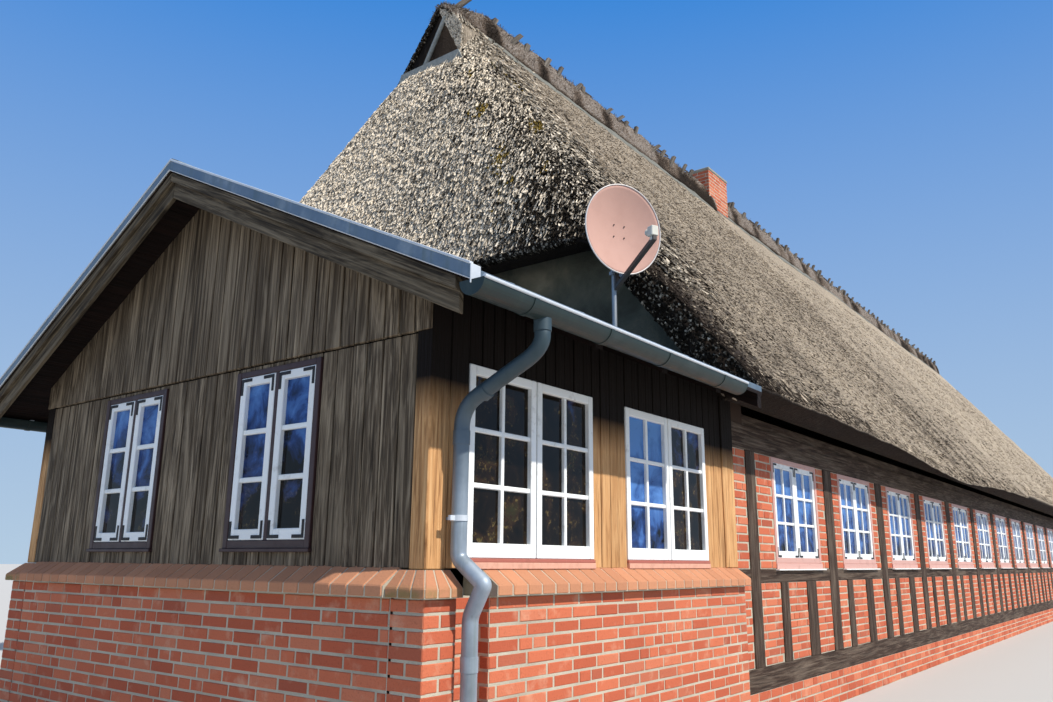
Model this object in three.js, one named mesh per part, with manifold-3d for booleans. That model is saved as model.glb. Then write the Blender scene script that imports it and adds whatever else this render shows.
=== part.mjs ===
// Long thatched farmhouse with a boarded annex at its near end.
// Millimetres, +Z up. X runs along the house from the annex gable to the far
// hip, the visible long side faces -Y, and z = 0 is ground level.
import * as THREE from 'three';
import { mergeVertices } from 'three/addons/utils/BufferGeometryUtils.js';
import Module from 'manifold-3d';

const wasm = await Module();
wasm.setup();

// Joints between neighbouring pieces, level ones and those on the roof's slope
const GAP = 0.3;
const SLOPE_GAP = 0.6;

// How far joined bodies lap, how far a cut runs past a face, and how far a trim reaches past the roof
const LAP = 1;
const THROUGH = 10;
const OUTSIDE = 1000;
const BELOW_GROUND = -100;
const MERGE = 1e-3;

// Main house, outer faces of the walls
const HOUSE_X0 = 3550;
const HOUSE_X1 = 35450;
const HOUSE_WIDTH = 8200;
const RIDGE_Y = HOUSE_WIDTH / 2;
const WALL = 240;
const WALL_TOP = 2440;
const PLATE_RISE = 600;
const PLATE_DEPTH = 200;
const FLOOR_TOP = 450;
const FLOOR_THICK = 160;

// Windows of the main house: one in each bay of the timber frame
const BAY = 1830;
const BAYS = 17;
const FIRST_WINDOW_X = 4380;
const WINDOW_WIDTH = 1150;
const WINDOW_SILL = 1300;
const WINDOW_HEAD = 2230;
const END_WINDOWS = 3;
const NEAR_END_WINDOW_Y = 5900;
const GLASS = 6;
const GLASS_LAP = 60;
const GLASS_INSET = 300;

// Thatch: two long slopes, a steep half hip over the annex, a full hip far off
const THATCH = 280;
const EAVE_Y = -520;
const EAVE_Z = 2563;
const APEX_Z = 8600;
const VERGE_X = 2950;
const HALF_HIP_Z = 4150;
const HALF_HIP_RISE = 3.0;
const OWL_X = 4120;
const ARCH_DROP = 60;
const ARCH_DEPTH = 420;
const FAR_EAVE_X = 35900;
const FAR_RIDGE_X = 31900;
const RIDGE_ROUND = 350;
const HIP_ROUND = 1100;
const INNER_ROUND = 0.7;
const EAVE_CUT_FALL = 0.25;
const SLOPE = (APEX_Z - EAVE_Z) / (RIDGE_Y - EAVE_Y);
const FAR_SLOPE = (APEX_Z - EAVE_Z) / (FAR_EAVE_X - FAR_RIDGE_X);
const thicknessOn = (slope) => THATCH * Math.hypot(1, slope);

// Heather roll along the ridge
const ROLL_HALF_WIDTH = 310;
const ROLL_THICK = 330;
const ROLL_EDGE = 70;
const ROLL_BED = 40;
const ROLL_BULGE = 0.5;
const ROLL_TAPER = { length: 900, start: 8580 };
const ROLL_X0 = 4090;
const ROLL_X1 = 32050;

// Owl hole at the head of the half hip
const OWL = { drop: 60, top: 7800, clear: 40, board: 28, recess: 300, panel: 30, half: 900, foot: 7250 };

// Chimney stack, from the floor through the ridge
const CHIMNEY_X = 12180;
const CHIMNEY_LENGTH = 860;
const CHIMNEY_DEPTH = 560;
const CHIMNEY_TOP = 9020;
const CHIMNEY_CAP = 60;
const CHIMNEY_LIP = 12;

// Annex, outer faces of its boarded walls
const ANNEX_WIDTH = 4200;
const ANNEX_WALL = 140;
const ANNEX_RIDGE_Y = 2110;
const ANNEX_RIDGE_Z = 3840;
const ANNEX_EAVE_Y = -540;
const ANNEX_BACK_EAVE_Y = 4600;
const ANNEX_PITCH = 0.481;
const ANNEX_BACK_PITCH = 0.556;
const ANNEX_ROOF = 70;
const ANNEX_VERGE_X = -350;
const NOTCH = { side: 30, inner: 420, low: 2000, high: 4000 };
const PLINTH_FACE = -60;
const PLINTH = 230;
const SILL_FRONT = -115;
const SILL_FRONT_Z = 1182;
const SILL_THICK = 56;
const PIER = 225;
const RECESS_END = 410;
const RECESS_FACE = 40;
const CAP_OVERHANG = 42;
const CAP_EDGE_Z = 1172;
const CAP_EDGE = 45;
const CAP_TOP_Z = 1257;
const CAP_FLAT = 10;
const POST = 110;
const SILL_TUCK = 20;
const BOARD_FOOT_Z = 1262;

// Annex windows
const SIDE_WINDOW = { width: 1177, sill: 1311, head: 2313 };
const SIDE_WINDOWS_X = [284, 1862];
const GABLE_WINDOW = { width: 793, sill: 1356, head: 2409 };
const GABLE_WINDOWS_Y = [855, 2450];
const FRAME = 62;
const FRAME_DEPTH = 70;
const FRAME_PROUD = 8;
const FRAME_FIT = 0.3;

// Bargeboards, gutters and downpipes of the annex
const BARGE_UPPER = 135;
const BARGE_LOWER = 240;
const BARGE_THICK = 28;
const BARGE_INSET = 12;
const BARGE_END_Y = -450;
const BARGE_BACK_END = 90;
const BARGE_STEP = 30;
const GUTTER_RADIUS = 72;
const GUTTER_WALL = 5;
const GUTTER_STEPS = 12;
const GUTTER_OUT = 20;
const GUTTER_END_X = 2450;
const PIPE_RADIUS = 40;
const PIPE_SIDES = 14;
const PIPE_BEND = 75;
const PIPE_STEPS = 44;

// Satellite dish: rim centre, the way it faces, and the mast behind it
const DISH = {
  centre: new THREE.Vector3(2620, 426, 3936),
  turn: THREE.MathUtils.degToRad(63),
  tilt: THREE.MathUtils.degToRad(-2.6),
  width: 710,
  height: 760,
  depth: 80,
  thick: 6,
  rings: 8,
  sides: 32,
};
const MAST_RADIUS = 21;
const MAST_SIDES = 16;
const MAST_BEHIND = 165;
const MAST_ABOVE = 75;
const MAST_SUNK = 40;
const ARM = { width: 40, behind: 28, leg: 20, below: 112, elbow: 46 };
const CLAMP = { width: 90, height: 120, behind: 205, seat: 3 };
const FEED = { out: 450, drop: 205, width: 90, depth: 70, height: 120, proud: 8, below: 15 };

const colours = {
  thatch: 0x93836b,
  heather: 0x6b5d50,
  brick: 0xc4694a,
  stucco: 0x565a4c,
  board: 0x6d6153,
  timber: 0x5a4636,
  zinc: 0x76828c,
  window: 0xdfe1dc,
  glass: 0x28323a,
  dish: 0xcf9683,
  steel: 0x8d949a,
  floor: 0x8a7350,
  lip: 0x8f8d86,
};

const house = new THREE.Group();

function piece(name, geometry, colour, roughness = 0.85, metalness = 0) {
  const material = new THREE.MeshStandardMaterial({ color: colours[colour], roughness, metalness });
  const mesh = new THREE.Mesh(geometry, material);
  mesh.name = name;
  house.add(mesh);
  return mesh;
}

const outline = (points) => new THREE.Shape(points.map(([a, b]) => new THREE.Vector2(a, b)));

const rectangle = (a0, a1, b0, b1) => [[a0, b0], [a1, b0], [a1, b1], [a0, b1]];

// A prism along X from an outline in (y, z)
function prismX(points, x0, x1) {
  const geometry = new THREE.ExtrudeGeometry(outline(points), { depth: x1 - x0, bevelEnabled: false });
  const turn = new THREE.Matrix4().makeBasis(
    new THREE.Vector3(0, 1, 0),
    new THREE.Vector3(0, 0, 1),
    new THREE.Vector3(1, 0, 0),
  );
  return geometry.applyMatrix4(turn).translate(x0, 0, 0);
}

// A prism along Y from an outline in (x, z)
function prismY(points, y0, y1) {
  const geometry = new THREE.ExtrudeGeometry(outline(points), { depth: y1 - y0, bevelEnabled: false });
  const turn = new THREE.Matrix4().makeBasis(
    new THREE.Vector3(1, 0, 0),
    new THREE.Vector3(0, 0, 1),
    new THREE.Vector3(0, -1, 0),
  );
  return geometry.applyMatrix4(turn).translate(0, y1, 0);
}

// A prism along Z from an outline in (x, y)
function prismZ(points, z0, z1) {
  const geometry = new THREE.ExtrudeGeometry(outline(points), { depth: z1 - z0, bevelEnabled: false });
  return geometry.translate(0, 0, z0);
}

function block(x0, x1, y0, y1, z0, z1) {
  const geometry = new THREE.BoxGeometry(x1 - x0, y1 - y0, z1 - z0);
  return geometry.translate((x0 + x1) / 2, (y0 + y1) / 2, (z0 + z1) / 2);
}

// Three.js geometry to a solid that can be cut and joined, and back
function solid(geometry) {
  const bare = geometry.clone();
  bare.deleteAttribute('normal');
  bare.deleteAttribute('uv');
  const merged = mergeVertices(bare, MERGE);
  return new wasm.Manifold(new wasm.Mesh({
    numProp: 3,
    vertProperties: new Float32Array(merged.attributes.position.array),
    triVerts: new Uint32Array(merged.index.array),
  }));
}

function geometryOf(body) {
  const mesh = body.getMesh();
  const geometry = new THREE.BufferGeometry();
  geometry.setAttribute('position', new THREE.BufferAttribute(new Float32Array(mesh.vertProperties), 3));
  geometry.setIndex(new THREE.BufferAttribute(new Uint32Array(mesh.triVerts), 1));
  return geometry;
}

// Openings cut right through a wall, from rectangles in its own face
function piercedY(body, holes, y0, y1) {
  return holes.reduce((rest, hole) => rest.subtract(solid(prismY(hole, y0 - THROUGH, y1 + THROUGH))), body);
}

function piercedX(body, holes, x0, x1) {
  return holes.reduce((rest, hole) => rest.subtract(solid(prismX(hole, x0 - THROUGH, x1 + THROUGH))), body);
}

// Roof surface: planes joined by a smooth minimum, which rounds the arrises
function smoothMin(a, b, round) {
  const h = Math.max(round - Math.abs(a - b), 0) / round;
  return Math.min(a, b) - h * h * round / 4;
}

const frontPlane = (y) => EAVE_Z + SLOPE * (y - EAVE_Y);
const backPlane = (y) => frontPlane(HOUSE_WIDTH - y);
const nearPlane = (x) => HALF_HIP_Z + HALF_HIP_RISE * (x - VERGE_X);
const farPlane = (x) => EAVE_Z + FAR_SLOPE * (FAR_EAVE_X - x);

// depth 0 is the outside of the thatch and depth 1 its underside
function slopesHeight(y, depth) {
  const sunk = depth * thicknessOn(SLOPE);
  return smoothMin(frontPlane(y) - sunk, backPlane(y) - sunk, RIDGE_ROUND);
}

const hipRound = (depth) => HIP_ROUND * (1 - INNER_ROUND * depth);

function nearHeight(x, y, depth) {
  const hip = nearPlane(x) - depth * thicknessOn(HALF_HIP_RISE);
  return smoothMin(slopesHeight(y, depth), hip, hipRound(depth));
}

function farHeight(x, y, depth) {
  const hip = farPlane(x) - depth * thicknessOn(FAR_SLOPE);
  return smoothMin(slopesHeight(y, depth), hip, hipRound(depth));
}

// Closed shell between two heights over a plan grid
function shell(xs, ys, top, bottom) {
  const across = ys.length;
  const count = xs.length * across;
  const positions = [];
  for (const height of [top, bottom]) {
    for (const x of xs) {
      for (const y of ys) {
        positions.push(x, y, height(x, y));
      }
    }
  }
  const at = (i, j, layer) => layer * count + i * across + j;
  const index = [];
  const quad = (a, b, c, d) => index.push(a, b, c, a, c, d);
  const lastX = xs.length - 1;
  const lastY = across - 1;
  for (let i = 0; i < lastX; i += 1) {
    for (let j = 0; j < lastY; j += 1) {
      quad(at(i, j, 0), at(i + 1, j, 0), at(i + 1, j + 1, 0), at(i, j + 1, 0));
      quad(at(i, j, 1), at(i, j + 1, 1), at(i + 1, j + 1, 1), at(i + 1, j, 1));
    }
    quad(at(i, 0, 1), at(i + 1, 0, 1), at(i + 1, 0, 0), at(i, 0, 0));
    quad(at(i, lastY, 0), at(i + 1, lastY, 0), at(i + 1, lastY, 1), at(i, lastY, 1));
  }
  for (let j = 0; j < lastY; j += 1) {
    quad(at(0, j, 0), at(0, j + 1, 0), at(0, j + 1, 1), at(0, j, 1));
    quad(at(lastX, j, 1), at(lastX, j + 1, 1), at(lastX, j + 1, 0), at(lastX, j, 0));
  }
  const geometry = new THREE.BufferGeometry();
  geometry.setAttribute('position', new THREE.Float32BufferAttribute(positions, 3));
  geometry.setIndex(index);
  return geometry;
}

function steps(from, to, count) {
  return Array.from({ length: count + 1 }, (_, i) => from + (to - from) * i / count);
}

const BACK_EAVE_Y = HOUSE_WIDTH - EAVE_Y;

const slopeStations = [
  ...steps(EAVE_Y, RIDGE_Y - 300, 11),
  ...steps(RIDGE_Y - 160, RIDGE_Y + 160, 6),
  ...steps(RIDGE_Y + 300, BACK_EAVE_Y, 11),
];

function thatchBetween(xs, height) {
  return solid(shell(xs, slopeStations, (x, y) => height(x, y, 0), (x, y) => height(x, y, 1)));
}

// Wedges that trim the underside of the eaves
function eaveTrim() {
  const low = EAVE_Z - OUTSIDE;
  const inner = 1500;
  const front = [
    [EAVE_Y - OUTSIDE, EAVE_Z],
    [EAVE_Y - OUTSIDE, low],
    [inner, low],
    [inner, EAVE_Z - EAVE_CUT_FALL * (inner - EAVE_Y)],
    [EAVE_Y, EAVE_Z],
  ];
  const back = front.map(([y, z]) => [HOUSE_WIDTH - y, z]).reverse();
  const far = [
    [FAR_EAVE_X + OUTSIDE, EAVE_Z],
    [FAR_EAVE_X, EAVE_Z],
    [FAR_EAVE_X - inner, EAVE_Z - EAVE_CUT_FALL * inner],
    [FAR_EAVE_X - inner, low],
    [FAR_EAVE_X + OUTSIDE, low],
  ];
  return solid(prismX(front, VERGE_X - OUTSIDE, FAR_EAVE_X + OUTSIDE))
    .add(solid(prismX(back, VERGE_X - OUTSIDE, FAR_EAVE_X + OUTSIDE)))
    .add(solid(prismY(far, EAVE_Y - OUTSIDE, BACK_EAVE_Y + OUTSIDE)));
}

// Space under the half hip, where the end wall shows
function archTrim() {
  const soffit = HALF_HIP_Z - ARCH_DROP;
  const inside = (z) => EAVE_Y + (z + thicknessOn(SLOPE) - EAVE_Z) / SLOPE;
  const low = 1500;
  const points = [
    [inside(low), low],
    [HOUSE_WIDTH - inside(low), low],
    [HOUSE_WIDTH - inside(soffit), soffit],
    [inside(soffit), soffit],
  ];
  return solid(prismX(points, VERGE_X - OUTSIDE, VERGE_X + ARCH_DEPTH));
}

// Mitre line in plan between the half hip and a long slope
const mitreY = (x) => EAVE_Y + (nearPlane(x) - EAVE_Z) / SLOPE;

function hipWedge(grow) {
  const x0 = VERGE_X - THROUGH;
  const x1 = OWL_X + THROUGH;
  return solid(prismZ([
    [x0, mitreY(x0) - grow],
    [x1, mitreY(x1) - grow],
    [x1, HOUSE_WIDTH - mitreY(x1) + grow],
    [x0, HOUSE_WIDTH - mitreY(x0) + grow],
  ], 0, APEX_Z + OUTSIDE));
}

const farMitreY = (x) => EAVE_Y + (farPlane(x) - EAVE_Z) / SLOPE;

function farWedge(grow) {
  const x1 = FAR_EAVE_X + THROUGH;
  return solid(prismZ([
    [FAR_RIDGE_X - 2 * grow, RIDGE_Y],
    [x1, farMitreY(x1) - grow],
    [x1, HOUSE_WIDTH - farMitreY(x1) + grow],
  ], 0, APEX_Z + OUTSIDE));
}

const chimneyX0 = CHIMNEY_X - CHIMNEY_LENGTH / 2;
const chimneyX1 = CHIMNEY_X + CHIMNEY_LENGTH / 2;
const chimneyY0 = RIDGE_Y - CHIMNEY_DEPTH / 2;
const chimneyY1 = RIDGE_Y + CHIMNEY_DEPTH / 2;
const chimneyHole = solid(block(
  chimneyX0 - GAP, chimneyX1 + GAP, chimneyY0 - GAP, chimneyY1 + GAP, 0, CHIMNEY_TOP + OUTSIDE,
));

// Stations along the roof, close together where its arrises turn
const nearXs = steps(VERGE_X, OWL_X, 5);
const mainXs = [
  OWL_X, ...steps(4800, 26800, 4), ...steps(29500, 34500, 10), ...steps(34800, FAR_EAVE_X, 6),
];
const trims = eaveTrim();
const nearThatch = thatchBetween(nearXs, nearHeight).subtract(trims).subtract(archTrim());
const mainThatch = thatchBetween(mainXs, farHeight).subtract(trims).subtract(chimneyHole);

const roofEnd = FAR_EAVE_X + OUTSIDE;
const roofTop = APEX_Z + OUTSIDE;
const frontHalf = solid(block(0, roofEnd, EAVE_Y - OUTSIDE, RIDGE_Y - GAP / 2, 0, roofTop));
const backHalf = solid(block(0, roofEnd, RIDGE_Y + GAP / 2, BACK_EAVE_Y + OUTSIDE, 0, roofTop));
const nearHipSolid = nearThatch.intersect(hipWedge(-GAP));
const farHipSolid = mainThatch.intersect(farWedge(-GAP));
const slopesSolid = mainThatch.subtract(farWedge(0)).add(nearThatch.subtract(hipWedge(0)));
const frontThatch = slopesSolid.intersect(frontHalf);
const backThatch = slopesSolid.intersect(backHalf);

piece('thatch_front', geometryOf(frontThatch), 'thatch', 1);
piece('thatch_back', geometryOf(backThatch), 'thatch', 1);
piece('thatch_near_hip', geometryOf(nearHipSolid), 'thatch', 1);
piece('thatch_far_hip', geometryOf(farHipSolid), 'thatch', 1);

// Everything below the thatch, used to shape what the roof rests on
function spaceUnder(xs, height) {
  return solid(shell(xs, slopeStations, (x, y) => height(x, y, 1) - SLOPE_GAP, () => BELOW_GROUND));
}
const underNear = spaceUnder(nearXs, nearHeight);
const underMain = spaceUnder(mainXs, farHeight);

// Heather roll: an arched cap that follows the slopes on both sides and tapers to its near end
function ridgeRoll() {
  const half = 10;
  const under = [];
  const over = [];
  for (let i = -half; i <= half; i += 1) {
    const y = RIDGE_Y + ROLL_HALF_WIDTH * i / half;
    const base = slopesHeight(y, 0);
    const bulge = Math.pow(Math.cos(Math.PI / 2 * i / half), ROLL_BULGE);
    under.push([y, base - ROLL_BED]);
    over.push([y, base + ROLL_EDGE + (ROLL_THICK - ROLL_EDGE) * bulge]);
  }
  const body = solid(prismX([...under, ...over.reverse()], ROLL_X0, ROLL_X1));
  const bed = mainThatch.translate([0, 0, SLOPE_GAP]).add(mainThatch.translate([-GAP, 0, 0]));
  const taper = prismY([
    [ROLL_X0 - THROUGH, ROLL_TAPER.start],
    [ROLL_X0 + ROLL_TAPER.length, APEX_Z + ROLL_THICK],
    [ROLL_X0 - THROUGH, APEX_Z + ROLL_THICK],
  ], RIDGE_Y - ROLL_HALF_WIDTH - THROUGH, RIDGE_Y + ROLL_HALF_WIDTH + THROUGH);
  return body.subtract(bed).subtract(chimneyHole).subtract(solid(taper));
}
piece('ridge_roll', geometryOf(ridgeRoll()), 'heather', 1);

// Owl hole at the head of the half hip: sill board and recessed boarding
const owlHalf = (z) => RIDGE_Y - (EAVE_Y + (z + thicknessOn(SLOPE) + OWL.clear - EAVE_Z) / SLOPE);
const owlSillZ = nearPlane(OWL_X) - OWL.drop;
piece('owl_sill', prismX([
  [RIDGE_Y - owlHalf(OWL.top), OWL.top],
  [RIDGE_Y - owlHalf(owlSillZ), owlSillZ],
  [RIDGE_Y + owlHalf(owlSillZ), owlSillZ],
  [RIDGE_Y + owlHalf(OWL.top), OWL.top],
].reverse(), OWL_X + GAP, OWL_X + GAP + OWL.board), 'board');

const owlPanelX = OWL_X + OWL.recess;
const owlPanel = solid(block(
  owlPanelX, owlPanelX + OWL.panel, RIDGE_Y - OWL.half, RIDGE_Y + OWL.half, OWL.foot, APEX_Z,
)).intersect(underMain);
piece('owl_gable', geometryOf(owlPanel), 'board');

// Main walls. Each long wall is one slab with its window row cut through.
const longRow = [];
for (let n = 0; n < BAYS; n += 1) {
  const x = FIRST_WINDOW_X + n * BAY;
  longRow.push(rectangle(x, x + WINDOW_WIDTH, WINDOW_SILL, WINDOW_HEAD));
}
function longWall(y0, y1) {
  const slab = solid(block(HOUSE_X0, HOUSE_X1, y0, y1, 0, WALL_TOP));
  return geometryOf(piercedY(slab, longRow, y0, y1));
}
piece('front_wall', longWall(0, WALL), 'brick');
piece('back_wall', longWall(HOUSE_WIDTH - WALL, HOUSE_WIDTH), 'brick');

// End walls stand between the long walls and rise to the thatch
const endHoles = (list) => list.map((y) => rectangle(y, y + WINDOW_WIDTH, WINDOW_SILL, WINDOW_HEAD));
const farWindows = Array.from({ length: END_WINDOWS }, (_, n) => (
  RIDGE_Y - WINDOW_WIDTH / 2 + (n - (END_WINDOWS - 1) / 2) * BAY
));
const endOutline = rectangle(WALL + GAP, HOUSE_WIDTH - WALL - GAP, 0, APEX_Z);
const nearWall = solid(prismX(endOutline, HOUSE_X0, HOUSE_X0 + WALL)).intersect(underNear);
piece('near_end_wall', geometryOf(
  piercedX(nearWall, endHoles([NEAR_END_WINDOW_Y]), HOUSE_X0, HOUSE_X0 + WALL),
), 'stucco');
const farWall = solid(block(HOUSE_X1 - WALL, HOUSE_X1, WALL + GAP, HOUSE_WIDTH - WALL - GAP, 0, WALL_TOP));
piece('far_end_wall', geometryOf(
  piercedX(farWall, endHoles(farWindows), HOUSE_X1 - WALL, HOUSE_X1),
), 'brick');

// Wall plates under the eaves, cut to the slope of the thatch
function plate(y0, y1, x0, x1) {
  return solid(block(x0, x1, y0, y1, WALL_TOP + GAP, WALL_TOP + PLATE_RISE))
    .intersect(underMain.add(underNear));
}
const plateX0 = HOUSE_X0 + WALL + GAP;
const plateX1 = HOUSE_X1 - PLATE_DEPTH - GAP;
piece('front_wall_plate', geometryOf(plate(0, PLATE_DEPTH, plateX0, plateX1)), 'timber');
piece('back_wall_plate', geometryOf(
  plate(HOUSE_WIDTH - PLATE_DEPTH, HOUSE_WIDTH, plateX0, plateX1),
), 'timber');
piece('far_wall_plate', geometryOf(plate(0, HOUSE_WIDTH, plateX1 + GAP, HOUSE_X1)), 'timber');

// Ends of the near gable beside the long walls' tops
piece('near_corner_front', geometryOf(
  solid(block(HOUSE_X0, HOUSE_X0 + WALL, 0, WALL, WALL_TOP + GAP, APEX_Z)).intersect(underNear),
), 'timber');
piece('near_corner_back', geometryOf(
  solid(block(HOUSE_X0, HOUSE_X0 + WALL, HOUSE_WIDTH - WALL, HOUSE_WIDTH, WALL_TOP + GAP, APEX_Z))
    .intersect(underNear),
), 'timber');

// Floor, glass and chimney
const inX0 = HOUSE_X0 + WALL + GAP;
const inX1 = HOUSE_X1 - WALL - GAP;
const inY0 = WALL + GAP;
const inY1 = HOUSE_WIDTH - WALL - GAP;
piece('main_floor', block(inX0, inX1, inY0, inY1, 0, FLOOR_TOP), 'floor');

const glassZ0 = WINDOW_SILL - GLASS_LAP;
const glassZ1 = WINDOW_HEAD + GLASS_LAP;
const glassX0 = inX0 + GLASS_INSET;
const glassX1 = inX1 - GLASS_INSET;
piece('front_glass', block(glassX0, glassX1, inY0, inY0 + GLASS, glassZ0, glassZ1), 'glass', 0.08);
piece('back_glass', block(glassX0, glassX1, inY1 - GLASS, inY1, glassZ0, glassZ1), 'glass', 0.08);
piece('near_end_glass', block(
  inX0, inX0 + GLASS, NEAR_END_WINDOW_Y - GLASS_LAP, NEAR_END_WINDOW_Y + WINDOW_WIDTH + GLASS_LAP,
  glassZ0, glassZ1,
), 'glass', 0.08);
piece('far_end_glass', block(
  inX1 - GLASS, inX1, farWindows[0] - GLASS_LAP, farWindows[END_WINDOWS - 1] + WINDOW_WIDTH + GLASS_LAP,
  glassZ0, glassZ1,
), 'glass', 0.08);

piece('chimney_stack', block(
  chimneyX0, chimneyX1, chimneyY0, chimneyY1, FLOOR_TOP + GAP, CHIMNEY_TOP,
), 'brick');
piece('chimney_cap', block(
  chimneyX0 - CHIMNEY_LIP, chimneyX1 + CHIMNEY_LIP, chimneyY0 - CHIMNEY_LIP, chimneyY1 + CHIMNEY_LIP,
  CHIMNEY_TOP + GAP, CHIMNEY_TOP + CHIMNEY_CAP,
), 'lip');

// Annex plinth, corner piers, sloping brick sills
const plinthTop = SILL_FRONT_Z - SILL_THICK;
const annexBack = ANNEX_WIDTH;
const backFace = annexBack - PLINTH_FACE;
const mirrored = (points) => points.map(([a, b]) => [a, annexBack - b]).reverse();
const annexX1 = HOUSE_X0 - GAP;

const pierInner = PLINTH_FACE + PIER;
const plinthInner = PLINTH_FACE + PLINTH;
const frontPlinth = [
  [pierInner + GAP, RECESS_FACE],
  [RECESS_END, RECESS_FACE],
  [RECESS_END, PLINTH_FACE],
  [annexX1, PLINTH_FACE],
  [annexX1, PLINTH_FACE + PLINTH],
  [pierInner + GAP, PLINTH_FACE + PLINTH],
];
piece('annex_plinth_front', prismZ(frontPlinth, 0, plinthTop), 'brick');
piece('annex_plinth_back', prismZ(mirrored(frontPlinth), 0, plinthTop), 'brick');
piece('annex_plinth_gable', block(
  PLINTH_FACE, PLINTH_FACE + PLINTH, plinthInner + GAP, annexBack - plinthInner - GAP, 0, plinthTop,
), 'brick');

// Corner pier with a hipped cap that rises to the corner post
function pier() {
  const shaft = block(PLINTH_FACE, pierInner, PLINTH_FACE, pierInner, 0, CAP_EDGE_Z - CAP_EDGE);
  const out = PLINTH_FACE - CAP_OVERHANG;
  const edge = block(out, pierInner, out, pierInner, CAP_EDGE_Z - CAP_EDGE - LAP, CAP_EDGE_Z);
  const slopes = shell(
    [out, -CAP_FLAT, POST - CAP_FLAT, pierInner],
    [out, -CAP_FLAT, POST - CAP_FLAT, pierInner],
    (x, y) => (x > out && y > out ? CAP_TOP_Z : CAP_EDGE_Z),
    () => CAP_EDGE_Z - LAP,
  );
  return solid(shaft).add(solid(edge)).add(solid(slopes));
}
const frontPier = pier();
piece('annex_pier_front', geometryOf(frontPier), 'brick');
piece('annex_pier_back', geometryOf(frontPier.mirror([0, 1, 0]).translate([0, annexBack, 0])), 'brick');

// Sills: sloping outwards, the back edge tucked under the boards
const sillProfile = [
  [SILL_FRONT, SILL_FRONT_Z - SILL_THICK + GAP],
  [ANNEX_WALL - SILL_TUCK, SILL_FRONT_Z - SILL_THICK + GAP],
  [ANNEX_WALL - SILL_TUCK, BOARD_FOOT_Z - GAP],
  [0, BOARD_FOOT_Z - GAP],
  [SILL_FRONT, SILL_FRONT_Z],
];
piece('annex_sill_front', prismX(sillProfile, RECESS_END, annexX1), 'brick');
piece('annex_sill_back', prismX(
  mirroredProfile(sillProfile), RECESS_END, annexX1,
), 'brick');
piece('annex_sill_gable', prismY(
  sillProfile, pierInner + GAP, annexBack - pierInner - GAP,
), 'brick');

function mirroredProfile(points) {
  return points.map(([a, b]) => [annexBack - a, b]).reverse();
}

// Boarded walls under the annex roof
const annexRoofUnder = (y) => (y <= ANNEX_RIDGE_Y
  ? ANNEX_RIDGE_Z - ANNEX_PITCH * (ANNEX_RIDGE_Y - y)
  : ANNEX_RIDGE_Z - ANNEX_BACK_PITCH * (y - ANNEX_RIDGE_Y)) - ANNEX_ROOF;

const wallX0 = ANNEX_WALL + GAP;
const sideTop = annexRoofUnder(0) - GAP;
const backTop = annexRoofUnder(annexBack) - GAP;
const sideHoles = SIDE_WINDOWS_X.map((x) => (
  rectangle(x, x + SIDE_WINDOW.width, SIDE_WINDOW.sill, SIDE_WINDOW.head)
));
function sideWall(y0, y1, top) {
  const slab = solid(block(wallX0, annexX1, y0, y1, BOARD_FOOT_Z, top));
  return geometryOf(piercedY(slab, sideHoles, y0, y1));
}
piece('annex_wall_front', sideWall(0, ANNEX_WALL, sideTop), 'board');
piece('annex_wall_back', sideWall(annexBack - ANNEX_WALL, annexBack, backTop), 'board');
const gableOutline = [
  [POST + GAP, BOARD_FOOT_Z],
  [annexBack - POST - GAP, BOARD_FOOT_Z],
  [annexBack - POST - GAP, annexRoofUnder(annexBack - POST) - GAP],
  [ANNEX_RIDGE_Y, annexRoofUnder(ANNEX_RIDGE_Y) - GAP],
  [POST + GAP, annexRoofUnder(POST) - GAP],
];
const gableHoles = GABLE_WINDOWS_Y.map((y) => (
  rectangle(y, y + GABLE_WINDOW.width, GABLE_WINDOW.sill, GABLE_WINDOW.head)
));
piece('annex_wall_gable', geometryOf(
  piercedX(solid(prismX(gableOutline, 0, ANNEX_WALL)), gableHoles, 0, ANNEX_WALL),
), 'board');
piece('annex_post_front', block(0, ANNEX_WALL, 0, POST, CAP_TOP_Z + GAP, sideTop), 'timber');
piece('annex_post_back', block(
  0, ANNEX_WALL, annexBack - POST, annexBack, CAP_TOP_Z + GAP, backTop,
), 'timber');

piece('annex_floor', block(
  PLINTH_FACE + PLINTH + GAP, annexX1, PLINTH_FACE + PLINTH + GAP, backFace - PLINTH - GAP,
  FLOOR_TOP - FLOOR_THICK, FLOOR_TOP,
), 'floor');

// Annex roof: two decks that meet at the ridge, notched round the thatch verge
function deck(eaveY, pitch, side) {
  const eaveZ = ANNEX_RIDGE_Z - pitch * Math.abs(ANNEX_RIDGE_Y - eaveY);
  const ridgeY = ANNEX_RIDGE_Y + side * GAP / 2;
  const points = [
    [eaveY, eaveZ - ANNEX_ROOF],
    [ridgeY, ANNEX_RIDGE_Z - ANNEX_ROOF],
    [ridgeY, ANNEX_RIDGE_Z],
    [eaveY, eaveZ],
  ];
  const ring = side < 0 ? points : points.reverse();
  return solid(prismX(ring, ANNEX_VERGE_X, annexX1));
}
const vergeNotch = solid(block(
  VERGE_X - NOTCH.side, HOUSE_X0, ANNEX_EAVE_Y - OUTSIDE, NOTCH.inner, NOTCH.low, NOTCH.high,
));
piece('annex_roof_front', geometryOf(
  deck(ANNEX_EAVE_Y, ANNEX_PITCH, -1).subtract(vergeNotch),
), 'zinc', 0.5, 0.6);
piece('annex_roof_back', geometryOf(deck(ANNEX_BACK_EAVE_Y, ANNEX_BACK_PITCH, 1)), 'zinc', 0.5, 0.6);

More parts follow.
